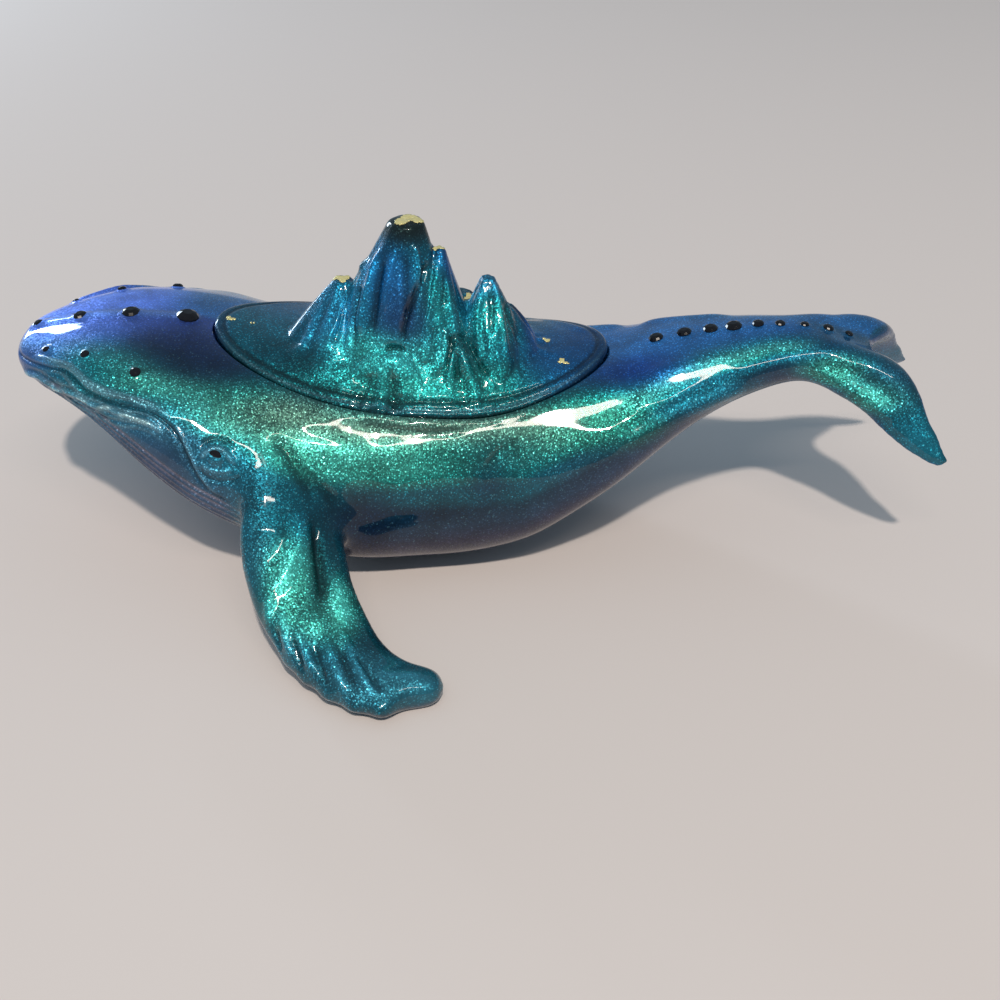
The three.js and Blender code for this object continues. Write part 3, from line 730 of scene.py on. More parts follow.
def line_recess(mesh):
    """Builds the seat and the bowl anew inside the opening, with a crisp rim."""
    solid, faces, _ = welded("whale_body")
    cad = BVHTree.FromPolygons((solid * MM).tolist(), faces.tolist())
    bm = open_mesh(mesh)
    skin = BVHTree.FromBMesh(bm)
    loop = open_loops(bm)[-1]
    turn = loop_turns(loop, SEAT_HALF, OPENING)
    near, far = (oval_heights(skin, SEAT_HALF, gap, turn) for gap in (OPENING + 0.1, OPENING + 2))
    edge = near + (near - far) / 2
    outer, inner = (oval_heights(cad, SEAT_HALF, gap, turn) for gap in (-0.4, 0.4 - LEDGE))
    low = edge - SEAT_ROUNDING
    top = inner - 0.4
    bend = BOWL_FLOOR + BOWL_FILLET
    rings = [
        (SEAT_HALF, SEAT_ROUNDING * (1 - math.sin(angle)), low + SEAT_ROUNDING * math.cos(angle))
        for angle in np.radians((0, 22.5, 45, 67.5, 90))
    ]
    rings += [(SEAT_HALF, 0, low + (outer - low) * share) for share in (0.33, 0.67, 1)]
    rings += [(SEAT_HALF, -LEDGE * t, outer + (inner - outer) * t) for t in (0.25, 0.5, 0.75, 0.95)]
    rings += [(BOWL_HALF, 0, top + (bend - top) * share) for share in (0, 0.33, 0.67)]
    rings += [
        (BOWL_HALF, BOWL_FILLET * (math.cos(angle) - 1), bend - BOWL_FILLET * math.sin(angle))
        for angle in np.radians(np.arange(0, 91, 10))
    ]
    rings += [(BOWL_HALF, -BOWL_FILLET - inset, BOWL_FLOOR) for inset in (2, 5, 8)]
    bm.faces.new(add_rings(bm, loop, oval_rings(turn, rings)))
    bmesh.ops.recalc_face_normals(bm, faces=bm.faces)
    close_mesh(bm, mesh)


# Each fluke's edges, as x over the distance from the midline
FLUKE_LEAD = [(7, 101), (12.4, 107.6), (16.4, 116.4), (20.4, 124.4), (23.9, 131.8), (26.6, 138)]
FLUKE_TRAIL = [(5, 127.4), (11.2, 131.6), (16, 134.9), (20.2, 137.2), (24, 139.4), (27, 141)]


def broader_flukes(points):
    """Widens the outer half of each fluke forwards, and rounds its tip out to a small hook."""
    x, y, _ = points.T
    span = np.abs(y)
    lead, trail = (np.interp(span, *np.array(edge).T) for edge in (FLUKE_LEAD, FLUKE_TRAIL))
    forward = np.clip((trail - x) / (trail - lead), 0, 1.2)
    outer = ramp(15, 24, span) * ramp(100, 106, x) * forward
    tip = ramp(20, 26, span) * ramp(120, 128, x)
    hook = bump(near_side(points), 1.4, (139.5, 26.5, 38.5), (2, 2, 2))
    back = (2.6 - 1.4 * forward) * tip + hook - 2.2 * outer
    return points + np.column_stack([back, np.sign(y) * tip, -outer - 0.8 * tip])


def fine_body(piece):
    """Gives the body a fine, even and rounded mesh with broader flukes."""
    mesh = remeshed(piece, BODY_VOXEL)
    points = rounded(mesh_points(mesh), "whale_body")
    set_points(mesh, points)
    x, y, z = near_side(points).T
    limb = limbs(x, y, (40, 50), (100, 110))
    rim = np.minimum(np.abs(oval_gap(points, SEAT_HALF)), np.abs(oval_gap(points, BOWL_HALF)))
    held = np.where(z > 36, RIM_FREE + (1 - RIM_FREE) * ramp(0.3, 2.2, rim), 1)
    relaxed(mesh, 0.5 * held * (1 - 0.85 * limb) * (1 - 0.6 * ramp(-44, -56, x)), BODY_ROUNDS)
    set_points(mesh, broader_flukes(mesh_points(mesh)))
    points = mesh_points(mesh)
    root = sum(bump(near_side(points), 1.4, *place) for place in LIMB_ROOTS)
    points = averaged(points, mesh_edges(mesh), 0.5 * np.minimum(1, root) * held, ROOT_ROUNDS)
    swell = FLUKE_SWELL * ramp(104, 114, points[:, 0]) * ramp(4, 9, np.abs(points[:, 1]))
    set_points(mesh, points + swell[:, None] * mesh_normals(mesh))
    mesh = remeshed(piece, BODY_VOXEL)
    points = mesh_points(mesh)
    points = averaged(points, mesh_edges(mesh), 0.5 * ramp(106, 114, points[:, 0]), FLUKE_ROUNDS)
    set_points(mesh, points)
    limb = limbs(points[:, 0], np.abs(points[:, 1]), (44, 52), (102, 110))
    relaxed(mesh, 0.5 * np.maximum(limb, 0.2), LIMB_ROUNDS)
    return mesh


def make_body():
    piece = new_object("whale_casting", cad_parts["whale_body"].data.copy())
    mesh = fine_body(piece)
    open_recess(mesh)
    set_points(mesh, lean_back(mesh_points(mesh)))
    shine_lines(mesh)
    line_recess(mesh)
    refined(mesh, carved_zone(face_centres(mesh)))
    points = mesh_points(mesh)
    edges = mesh_edges(mesh)
    recess = (oval_gap(points, SEAT_HALF) < 2) & (points[:, 2] > 12)
    set_points(mesh, averaged(points, edges, np.where(recess, 0, 0.5), 6))
    shine_lines(mesh)
    points = mesh_points(mesh)
    facing = mesh_normals(mesh)
    places = near_side(points)
    furrows = pleats(places)
    strokes = BODY_STROKES + FLIPPER_STROKES
    carving = sum(stroke(places, height, line, *shape) for line, height, *shape in strokes)
    lips = np.zeros(len(places))
    for shift, height in LIP_LINES:
        line = [(x, y, z + shift + LIP_WAVER * math.sin(0.5 * x + 3 * shift)) for x, y, z in MOUTH[1:11]]
        lips += stroke(places, height, line, LIP_LINE_WIDTH, 0.3)
    lift = furrows + carving + lips + gem_seats(points) + UNEVENNESS * waves(points, 16, 8)
    lift += sum(bump(places, *swelling) for swelling in BODY_SWELLINGS)
    lift = np.where(recess & (oval_gap(points, SEAT_HALF) < 1.6), 0, lift)
    points = averaged(points + lift[:, None] * facing, edges, np.where(recess, 0, 0.3), 1)
    points[:, 2] = np.maximum(points[:, 2], 0)
    set_points(mesh, points)
    mesh.shade_smooth()
    head = ramp(-40, -46, places[:, 0])
    glint_breaks = ramp(-0.2, 0.5, waves(points, 7, 8))
    sky_sheen = ramp(1, 5, points[:, 1]) * ramp(0.72, 0.86, facing[:, 2])
    # Painted light: pale highlight lines on the pleats and lip ridges, a sky sheen on surfaces that face up,
    # and glints on the lower lip
    lines = [
        (PLEAT_HIGHLIGHT, 0.95 * (furrows / PLEAT_DEPTH) ** 2),
        (RIDGE_HIGHLIGHT, 0.7 * head * np.clip(2 * lips + np.maximum(carving, 0), 0, 1)),
        (AZURE_AND_SKY_SHEEN, 0.7 * sky_sheen),
        (COBALT_AND_SKY_SHEEN, sky_sheen * ramp(-58, -74, places[:, 0])),
        (GLINT_HIGHLIGHT, head * glint_breaks * np.clip(stroke(places, 1, LOWER_LIP, 0.4, 0.1), 0, 0.9)),
    ]
    tint(mesh, body_shade(places, facing), BODY_TINTS, places, carving, lines, BODY_CALM)
    return piece


# Lid

# Peaks: summit (x, y, z), foot (x, y), radius at the foot
PEAKS = [
    ((0, -1, 92.2), (-4.6, -3), 17),
    ((-17.7, 0, 74.8), (-18.5, -2.5), 14),
    ((8.2, -1.4, 84.8), (6.8, -8), 12),
    ((20.8, -1, 76.6), (21.2, -7.4), 10.5),
    ((15.2, 1, 69.4), (15, -2), 10),
    ((24.8, 1, 67.4), (25.6, -4), 10),
    ((13.4, -13, 64.4), (14.4, -14.5), 8),
    ((-4, -13, 61.6), (-4, -12), 14),
    ((-8, 10, 68), (-8, 9.5), 12),
    ((13.5, 9, 67.6), (14, 8.5), 11),
]
PLATE_HEIGHT = 57.0
FOLD_COUNTS = (9, 17, 33)
FOLD_SHARES = (1.0, 0.6, 0.3)
FOLD_DEPTH = 0.15
STROKE_DEPTH = 1.35

# Strokes on the lid: line, height, width, share of its length that fades in and out
LID_STROKES = [
    ([(-2, -6.3, 88.5), (-3.9, -8.6, 82), (-5, -10.7, 76), (-5.6, -12.9, 69.6)], 0.55, 0.9, 0.3),
    ([(1.6, -6.2, 88), (2.8, -7, 86), (3, -7.8, 82.8), (3.3, -9, 79.2), (3.7, -10.2, 75.3)], 0.8, 0.6, 0.2),
    ([(-0.4, -6.6, 87.4), (0.2, -8.8, 82), (0.4, -11, 75.6), (0, -13, 69)], -0.55, 0.8, 0.3),
    ([(-6.7, -4.1, 86), (-8.7, -8, 79.1), (-10.9, -11.5, 69.9), (-12, -13.9, 64.2)], 0.9, 1.0, 0.25),
    ([(-5, -6, 86), (-6.6, -9, 79), (-7.8, -12, 71), (-8.6, -14.4, 64.6)], -0.7, 0.9, 0.25),
    ([(-15, -4.7, 71.9), (-16.7, -8.5, 66.5), (-17.7, -14.3, 60.1)], 0.6, 0.7, 0.25),
    ([(-16.7, -3.3, 72.6), (-17.8, -7.6, 68.1), (-19.2, -10.5, 64.6), (-21.5, -13.2, 60.7)], 0.7, 0.7, 0.25),
    ([(-16.6, -4.4, 71), (-17.8, -9, 65.8), (-19.4, -13.4, 60.6)], -0.5, 0.5, 0.25),
    ([(-11.7, -5.9, 76), (-12.4, -8.4, 72.9), (-12.9, -11, 68), (-13.1, -15.3, 60.5)], -0.9, 0.9, 0.2),
    ([(5.4, -5.3, 83.1), (4, -8.2, 79.4), (1.8, -11.4, 74.7), (-0.1, -13.3, 69), (-0.9, -15.4, 62.9)],
     -1.0, 0.9, 0.15),
    ([(7.4, -3.6, 83.6), (7.7, -6, 79.3), (6.2, -10.5, 71.5), (5, -14.5, 64.9)], 0.6, 0.9, 0.3),
    ([(9.6, -4.4, 81), (9.8, -7.4, 76), (9.2, -10.8, 70)], -0.5, 0.7, 0.3),
    ([(20.2, -3.4, 75), (19, -6.2, 70.9), (18.6, -8.9, 67.1), (19, -13.2, 61.4), (18.2, -17, 57.6)],
     0.6, 0.7, 0.25),
    ([(22.2, -2.1, 76.2), (23.4, -5, 71.9), (24.9, -9.5, 65.5), (26.6, -15.1, 57.6)], 0.7, 0.55, 0.2),
    ([(21.4, -3.6, 74), (22, -7, 69), (22.4, -11.4, 63)], -0.5, 0.7, 0.25),
    ([(24.4, -3, 71), (26.3, -5.9, 66.5), (29.6, -9.4, 59.5)], -0.6, 0.8, 0.25),
    ([(13.3, -14.1, 64.2), (12.1, -17.7, 59.4), (10.5, -21.4, 55.4)], 0.7, 0.8, 0.2),
    ([(13.3, -14.1, 64.2), (15.5, -17.1, 60), (17.2, -20.2, 56)], 0.7, 0.7, 0.2),
    ([(13, -14.8, 62.6), (13.4, -17.6, 59.2), (13.6, -20.4, 56)], -0.8, 0.6, 0.2),
    ([(10.2, -12.2, 67.8), (10.7, -14.5, 63.5), (9, -18.8, 56.9)], 0.6, 0.7, 0.2),
    ([(11.6, -12.6, 66), (11.6, -15.4, 61.8), (10.6, -18.6, 57.8)], -0.7, 0.6, 0.2),
    ([(16, -11.7, 62.1), (19.3, -15.5, 58.3), (22, -17.4, 56)], -0.7, 0.7, 0.2),
    ([(7.4, -12, 68), (6.8, -15, 63), (6.2, -18, 58)], -0.5, 0.7, 0.2),
    ([(-5.2, -17.5, 61.6), (-2.8, -16.6, 61.6), (0, -16.6, 61.4), (2.4, -17, 60.6)], 0.5, 0.6, 0.3),
    ([(-6, -15.2, 62), (-2.8, -14.2, 62.4), (0.6, -14.6, 62)], -0.9, 1.0, 0.3),
]


def value_noise(turn, share, count):
    """Random folds round a peak, count of them, that change from its foot to its summit."""
    knots = RANDOM.uniform(-1, 1, (2, count))
    place = (turn / (2 * math.pi) % 1) * count
    first = np.floor(place).astype(int) % count
    part = place - np.floor(place)
    part = part * part * (3 - 2 * part)
    low, high = (row[first] * (1 - part) + row[(first + 1) % count] * part for row in knots)
    return low * (1 - share) + high * share


def folds(points):
    """Upright folds down the slopes of each peak, as in a drawn curtain, and how far off a slope is."""
    x, y, z = points.T
    depth = np.zeros(len(points))
    total = np.full(len(points), 1e-6)
    nearest = np.full(len(points), 9.0)
    for summit, foot, spread in PEAKS:
        share = np.clip((z - PLATE_HEIGHT) / (summit[2] - PLATE_HEIGHT), 0, 1)
        off_x = x - (foot[0] + (summit[0] - foot[0]) * share)
        off_y = y - (foot[1] + (summit[1] - foot[1]) * share)
        radius = np.hypot(off_x, off_y)
        turn = np.arctan2(off_y, off_x)
        fold = np.zeros(len(points))
        for count, weight in zip(FOLD_COUNTS, FOLD_SHARES):
            fold += weight * (0.5 - np.abs(value_noise(turn, share, count)))
        inside = np.where(z < summit[2] + 1, radius / (2 + (spread - 2) * (1 - share)), 9)
        weight = np.exp(-6 * inside)
        total += weight
        depth += weight * fold * FOLD_DEPTH * np.minimum(radius + 2, 11)
        nearest = np.minimum(nearest, inside)
    return depth / total, nearest


def lid_borders(bm):
    """The two open borders, the lower one first."""
    return sorted(open_loops(bm), key=lambda loop: sum(v.co.z for v in loop) / len(loop))


def cut_lid_edge(mesh):
    """Cuts off the plate's rough edge, and builds it anew with an even rounding."""
    bm = open_mesh(mesh)
    rough = BVHTree.FromBMesh(bm)
    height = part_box("mountain_lid")[0].z + PLATE_LEVEL
    start = rough.find_nearest(Vector((LID_HALF[0] * MM, 0, height)))[2]
    outside = oval_gap(mesh_points(mesh), LID_HALF) > LID_CUT
    bmesh.ops.delete(bm, geom=flooded(bm.faces[start], outside), context="FACES")
    for loop, up in zip(lid_borders(bm), (True, False)):
        snap_loop(bm, loop, rough, LID_HALF, LID_CUT, up)
    loop = lid_borders(bm)[1]
    turn = loop_turns(loop, LID_HALF, LID_CUT)
    near, far = (oval_heights(rough, LID_HALF, gap, turn) for gap in (-1.9, -3.4))
    edge = near + (near - far) * 0.6
    below = oval_heights(rough, LID_HALF, -1.9, turn, up=True)
    across, down = LID_ROUNDING
    low = edge - down
    rings = [
        (LID_HALF, across * (math.sin(angle) - 1), low + down * math.cos(angle))
        for angle in np.radians((0, 15, 30, 45, 60, 75, 90))
    ]
    rings += [(LID_HALF, 0, low + (below - low) * share) for share in (0.33, 0.67, 0.95)]
    add_rings(bm, loop, oval_rings(turn, rings + [(LID_HALF, -0.3, below)]))
    bmesh.ops.bridge_loops(bm, edges=[edge for edge in bm.edges if edge.is_boundary])
    bmesh.ops.recalc_face_normals(bm, faces=bm.faces)
    close_mesh(bm, mesh)


def make_lid():
    piece = new_object("lid_casting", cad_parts["mountain_lid"].data.copy())
    mesh = remeshed(piece, LID_VOXEL)
    points = rounded(mesh_points(mesh), "mountain_lid")
    set_points(mesh, points)
    under = mesh_normals(mesh)[:, 2] < -0.2
    plate = ramp(1.35, 1.6, folds(points)[1])
    held = RIM_FREE + (1 - RIM_FREE) * ramp(0.3, 1.6, np.abs(oval_gap(points, LID_HALF)))
    relaxed(mesh, 0.5 * np.where(under, 0.3, held * (0.35 + 0.65 * plate)), LID_ROUNDS)
    points = mesh_points(mesh)
    near_edge = ramp(-11, -0.5, oval_gap(points, LID_HALF)) * np.clip(-points[:, 1] / 22, 0, 1)
    points[:, 2] -= LID_DROOP * near_edge * ramp(0, 0.6, mesh_normals(mesh)[:, 2])
    set_points(mesh, points)
    cut_lid_edge(mesh)
    points = mesh_points(mesh)
    facing = mesh_normals(mesh)
    fold, nearest = folds(points)
    rock = ramp(1.45, 1.0, nearest) * (facing[:, 2] > -0.2)
    carving = rock * fold
    for line, height, width, fade in LID_STROKES:
        carving += stroke(points, STROKE_DEPTH * height, line, width, fade)
    groove = np.exp(-((oval_gap(points, LID_HALF) + GROOVE_INSET) / 0.5) ** 2) * (facing[:, 2] > 0.5)
    lift = carving - GROOVE_DEPTH * groove + bump(points, 0.9, (-12.4, -1, 79.8), (1.6, 3, 1.6))
    points = points + lift[:, None] * facing
    edge = oval_gap(points, LID_HALF) > -2
    points = averaged(points, mesh_edges(mesh), np.where(edge, 0, 0.4), 2)
    set_points(mesh, points)
    mesh.shade_smooth()
    gap = oval_gap(points, LID_HALF)
    # Painted shade: the plate's side wall turns deep teal, and the wall, the groove and a band just inside
    # the edge are darkened
    shaded_wall = ramp(-0.5, -0.05, gap)
    shade = blended(lid_shade(facing, rock), DEEP_TEAL, shaded_wall)
    # A painted highlight along the bead on the near side
    lines = [(RIDGE_HIGHLIGHT, 0.35 * np.exp(-((gap + BEAD_INSET) / 0.25) ** 2) * ramp(0, -12, points[:, 1]))]
    painted_edge_shade = 0.8 * shaded_wall + 0.8 * groove + 0.5 * ramp(-3.4, -2.6, gap)
    tint(mesh, shade, LID_TINTS, points, carving - painted_edge_shade, lines)
    return piece


# Colour zones

# The trunk's colours by the angle from straight down, as the pigment looks in the key light: a painted mint
# sheen on the band that faces the light, and a plum belly that is partly a painted reflection of the floor
BODY_COLOUR_AND_SHEEN_RAMP = [
    (0, PLUM), (84, PLUM), (93, (0.020, 0.050, 0.095)), (100, (0.006, 0.034, 0.062)), (105, TEAL),
    (110, TEAL), (115, GREEN), (121, MINT_SHEEN), (127, MINT_SHEEN), (135, GREEN), (146, TEAL), (160, BLUE), (180, BLUE),
]

# Zones of colour on the body, by colour: weight, centre (x, distance from the midline, z), radii; some stand
# for painted sheen, reflections and shade, as marked
BODY_TINTS = [
    # Cobalt on the head's top: pigment with a painted reflection of the sky
    (COBALT_AND_SKY_SHEEN, [(7, (-96, -1, 61), (15, 12, 6)), (1.6, (-84, 6, 62), (12, 6, 5))]),
    (VIOLET, [(5, (-66, 0, 64), (20, 9, 6))]),
    (BLUE, [
        (2.4, (-98, 16, 54), (10, 8, 6)), (2, (-84, 12, 61.5), (9, 6, 3)), (1.8, (-60, 0, 66), (50, 10, 5)),
    ]),
    (NAVY, [
        (7, (-63, 13, 61), (12, 9, 6)), (6, (-53, 19, 58.4), (9, 9, 4.5)), (2.4, (22, 32, 36), (4, 4, 6)),
        (2.8, (-9, 52, 18), (4, 10, 8)),
    ]),
    (LAGOON, [
        (4, (-90, 24, 54), (12, 8, 5)), (3, (-70, 32, 52), (12, 5, 5)), (2.6, (-46, 41, 40), (8, 5, 6)),
        (1.6, (80, 18, 51), (16, 6, 3.4)), (2.2, (134, 24, 42), (8, 6, 6)),
        (1.8, (-40, 47, 30), (4, 14, 14)),
    ]),
    ((0.01, 0.25, 0.27), [(3, (-79, 20, 59), (9, 6, 3))]),
    # Mint where the flank, flukes and flipper face the key light: painted sheen
    (MINT_SHEEN, [
        (2.6, (-62, 27, 56), (16, 3.4, 3)), (4, (-14, 36, 42), (15, 4, 5)),
        (3, (112, 13, 56.6), (6, 3.2, 3)), (2.6, (122, 17.6, 52), (6, 3, 3.4)),
        (3.6, (-26.4, 60, 22), (5.5, 8, 6)), (3.6, (-13.8, 65, 16), (4.6, 7, 5)),
        (2.6, (-23, 69, 16), (6, 5, 4)),
    ]),
    (SLATE, [(4, (-76, 34, 46), (16, 8, 7)), (2.4, (-56, 40, 34), (10, 10, 9))]),
    (GRAPE, [(4, (-64, 36, 34), (18, 14, 8))]),
    # Painted warm glow round the highlight below the lid
    (WARM_HIGHLIGHT_GLOW, [
        (2.6, (-30, 30, 50), (12, 5, 5)), (3.4, (-8, 31, 46.5), (14, 4, 3.4)),
        (3.4, (14, 29, 46.5), (14, 4, 3.4)), (2.2, (36, 26, 46.5), (12, 4, 3.4)),
    ]),
    ((0.01, 0.19, 0.16), [(3, (12, 33.5, 41.5), (10, 4, 4))]),
    # Azure on the tail's top: pigment with a painted reflection of the sky
    (AZURE_AND_SKY_SHEEN, [(4, (58, 4, 60), (16, 12, 5)), (3, (78, 0, 62), (20, 7, 5))]),
    (TEAL, [(2.4, (24, 31.5, 39), (11, 4, 6)), (2.2, (-30, 48, 32), (8, 8, 10))]),
    ((0.014, 0.17, 0.13), [(6, (49, 25, 46), (12, 4, 4))]),
    # Slate-violet on the tail's lower side: partly a painted reflection of the shaded floor
    ((0.05, 0.08, 0.16), [(2.4, (66, 16, 34), (22, 14, 8))]),
    (ROYAL, [(8, (60, 12, 57.5), (9, 5, 4))]),
    # Dark navy behind the flipper's root: a painted reflection of the flipper and its shadow
    ((0.004, 0.02, 0.055), [(5, (-11, 39.5, 25), (7, 5, 5))]),
    ((0.004, 0.024, 0.06), [(3, (0, 38, 25.6), (12, 4, 2))]),
    ((0.006, 0.07, 0.2), [(3.4, (113, 3, 60), (12, 6, 4))]),
    ((0.014, 0.07, 0.14), [(2.6, (127, 14, 55), (7, 6, 5))]),
    # Painted shade where the flipper meets the flank and along its groove, and darker nearer its rear edge
    (DEEP_TEAL, [
        (3, (-20, 48, 28), (6, 9, 8)), (2.2, (-19.2, 60, 20), (2, 7, 6)), (2.6, (-4, 66, 10), (5, 9, 6)),
    ]),
    (TIDE, [
        (2.8, (-30, 74, 10), (8, 6, 5)), (2.4, (-12, 84, 6), (14, 5, 5)), (3, (2, 80, 8), (12, 7, 5)),
        (2.4, (-38, 58, 20), (5, 10, 12)),
    ]),
]
# Places where the pigment lies smooth, without glitter: centre, radii
BODY_CALM = [
    ((-84, 27, 50), (20, 12, 7)),
    ((-62, 38, 42), (10, 10, 8)),
    ((-102, 8, 57), (7, 12, 6)),
    ((-92, 0, 62), (14, 12, 4)),
    ((-36, 66, 12), (5, 10, 12)),
    ((6, 82, 8), (9, 8, 6)),
    ((136, 24, 41), (7, 6, 8)),
]
LID_TINTS = [
    ((0.006, 0.12, 0.13), [(2.4, (-22, -18, 54), (16, 7, 6))]),
    ((0.018, 0.2, 0.16), [(2.6, (-2, -20, 54), (18, 5, 5))]),
    (GREEN, [
        (2.4, (18, -18, 54), (12, 7, 5)), (1.2, (8, -9, 70), (4, 6, 12)), (1.6, (22, -8, 67), (5, 5, 7)),
    ]),
    (DEEP_TEAL, [(6, (-28, -13, 57.5), (10, 4, 3))]),
    (BLUE, [
        (2.2, (-26, 16, 56), (20, 10, 6)), (4, (44, -2, 55), (11, 14, 6)), (2.6, (-52, 0, 57), (3, 14, 5)),
        (1.6, (-4, -6, 80), (5, 8, 8)), (2, (10.5, -2, 82), (3, 4, 6)),
    ]),
    (NAVY, [
        (1.6, (0, 22, 54), (30, 8, 6)), (5, (-1, -11, 67), (6, 6, 9)),
        # Navy in the hollow above the front mound: painted shade
        (2.4, (-3, -14.5, 62.2), (4, 1.6, 2)),
    ]),
    (ROYAL, [(1.6, (48, 4, 55), (7, 10, 6))]),
    ((0.01, 0.1, 0.19), [(2.6, (-21, -6, 66), (7, 9, 8))]),
    ((0.006, 0.075, 0.08), [(3.4, (14, -15, 61), (7, 6, 7))]),
    (CYAN, [(3, (20.8, -1, 77), (4, 5, 4))]),
    ((0.04, 0.41, 0.38), [(3, (-6, -15, 61), (11, 6, 4))]),
    (OLIVE, [(30, (0, -1, 92.5), (5.5, 5.5, 3.2))]),
]


def ramped(stops, value):
    places, colours = zip(*stops)
    colours = np.array(colours)
    return np.stack([np.interp(value, places, colours[:, k]) for k in range(3)], 1)


def blended(first, second, share):
    return first + (np.array(second) - first) * share[:, None]


def body_shade(places, facing):
    """The body's colours before its zones: by angle on the trunk, painted sheen included, plain teal on
    flippers and flukes, and on their undersides and the flukes' rear faces plum turning slate-blue towards
    the tail, partly a painted reflection of the shaded floor.
    """
    x, y, _ = places.T
    limb = limbs(x, y, (42, 49), (100, 112))
    # Undersides and the flukes' rear faces: partly a painted reflection of the shaded floor
    under = np.maximum(ramp(0.1, -0.4, facing[:, 2]), ramp(0.5, 0.8, facing[:, 0]) * ramp(110, 120, x))
    low = blended(np.tile(np.array(PLUM), (len(places), 1)), (0.01, 0.055, 0.2), ramp(60, 100, x))
    share = (limb * under)[:, None]
    return blended(ramped(BODY_COLOUR_AND_SHEEN_RAMP, belly_angle(places)[0]), TEAL, limb) * (1 - share) + low * share


def lid_shade(facing, rock):
    """The lid's colours before its zones: teal, darker on the mountains, with a painted cyan highlight on
    slopes that face left and painted shade on slopes that face right.
    """
    shade = np.tile(np.array((0.004, 0.120, 0.185)), (len(facing), 1))
    shade = blended(shade, (0.003, 0.080, 0.130), rock)
    # Left-facing slopes painted paler cyan, as lit from the left; right-facing slopes painted dark, as shade
    shade = blended(shade, CYAN, 0.8 * rock * ramp(0.2, 0.9, -facing[:, 0]))
    return blended(shade, (0.004, 0.018, 0.060), rock * ramp(0.25, 0.85, facing[:, 0]))


def tint(mesh, shade, zones, places, carving, lines, calm=()):
    """Blends the zones over the shade, with painted highlight on ridges and painted shade in grooves, and
    the lines of painted highlight and sheen over both. The alpha is the grain.
    """
    total = np.ones(len(places))
    colour = shade.copy()
    for zone_colour, spots in zones:
        for spot in spots:
            share = bump(places, *spot)
            total += share
            colour += share[:, None] * np.array(zone_colour)
    # Painted highlight on ridges and painted shade in grooves
    colour *= (np.exp(PAINTED_RELIEF_SHADING * np.clip(carving, -1, 0.7)) / total)[:, None]
    for line_colour, share in lines:
        colour = blended(colour, line_colour, share)
    red, green, blue = colour.T
    grain = np.clip(1.6 * (green - 0.6 * red) / (blue + 0.12), LEAST_GRAIN, 1)
    for centre, radii in calm:
        grain *= 1 - bump(places, 0.8, centre, radii)
    layer = mesh.color_attributes.new("tint", "FLOAT_COLOR", "POINT")
    layer.data.foreach_set("color", np.column_stack([colour, grain]).ravel())


# Materials

def new_material(name):
    material = bpy.data.materials.new(name)
    material.use_nodes = True
    tree = material.node_tree
    return material, tree, tree.nodes["Principled BSDF"]


def node(tree, kind, inputs, **settings):
    made = tree.nodes.new("ShaderNode" + kind)
    for key, value in settings.items():
        setattr(made, key, value)
    set_inputs(tree, made, inputs)
    return made


def set_inputs(tree, made, inputs):
    """Links a node's inputs to sockets, or gives them plain values."""
    for key, value in inputs.items():
        if isinstance(value, bpy.types.NodeSocket):
            tree.links.new(value, made.inputs[key])
        else:
            made.inputs[key].default_value = value


def mixed(tree, mode, factor, first, second):
    """A colour mix of two sockets or colours; the result's socket."""
    colours = [c if isinstance(c, bpy.types.NodeSocket) else (*c, 1) for c in (first, second)]
    inputs = dict(zip((0, 6, 7), (factor, *colours)))
    return node(tree, "Mix", inputs, data_type="RGBA", blend_type=mode).outputs[2]


def ranged(tree, value, *limits):
    """Moves a value from one range to another, given as from low, from high, to low, to high."""
    return node(tree, "MapRange", dict(enumerate((value, *limits)))).outputs["Result"]


DOT_SCALE = 1400
GLITTER_SHARE = 0.025
FLAKE_TILT = 0.42


def worked(tree, kind, operation, *values):
    """The result of a node that does sums, on numbers or on vectors."""
    return node(tree, kind, dict(enumerate(values)), operation=operation).outputs[0]


def noise(tree, place, scale, detail, distortion=0):
    inputs = {"Vector": place, "Scale": scale, "Detail": detail, "Distortion": distortion}
    return node(tree, "TexNoise", inputs).outputs["Fac"]


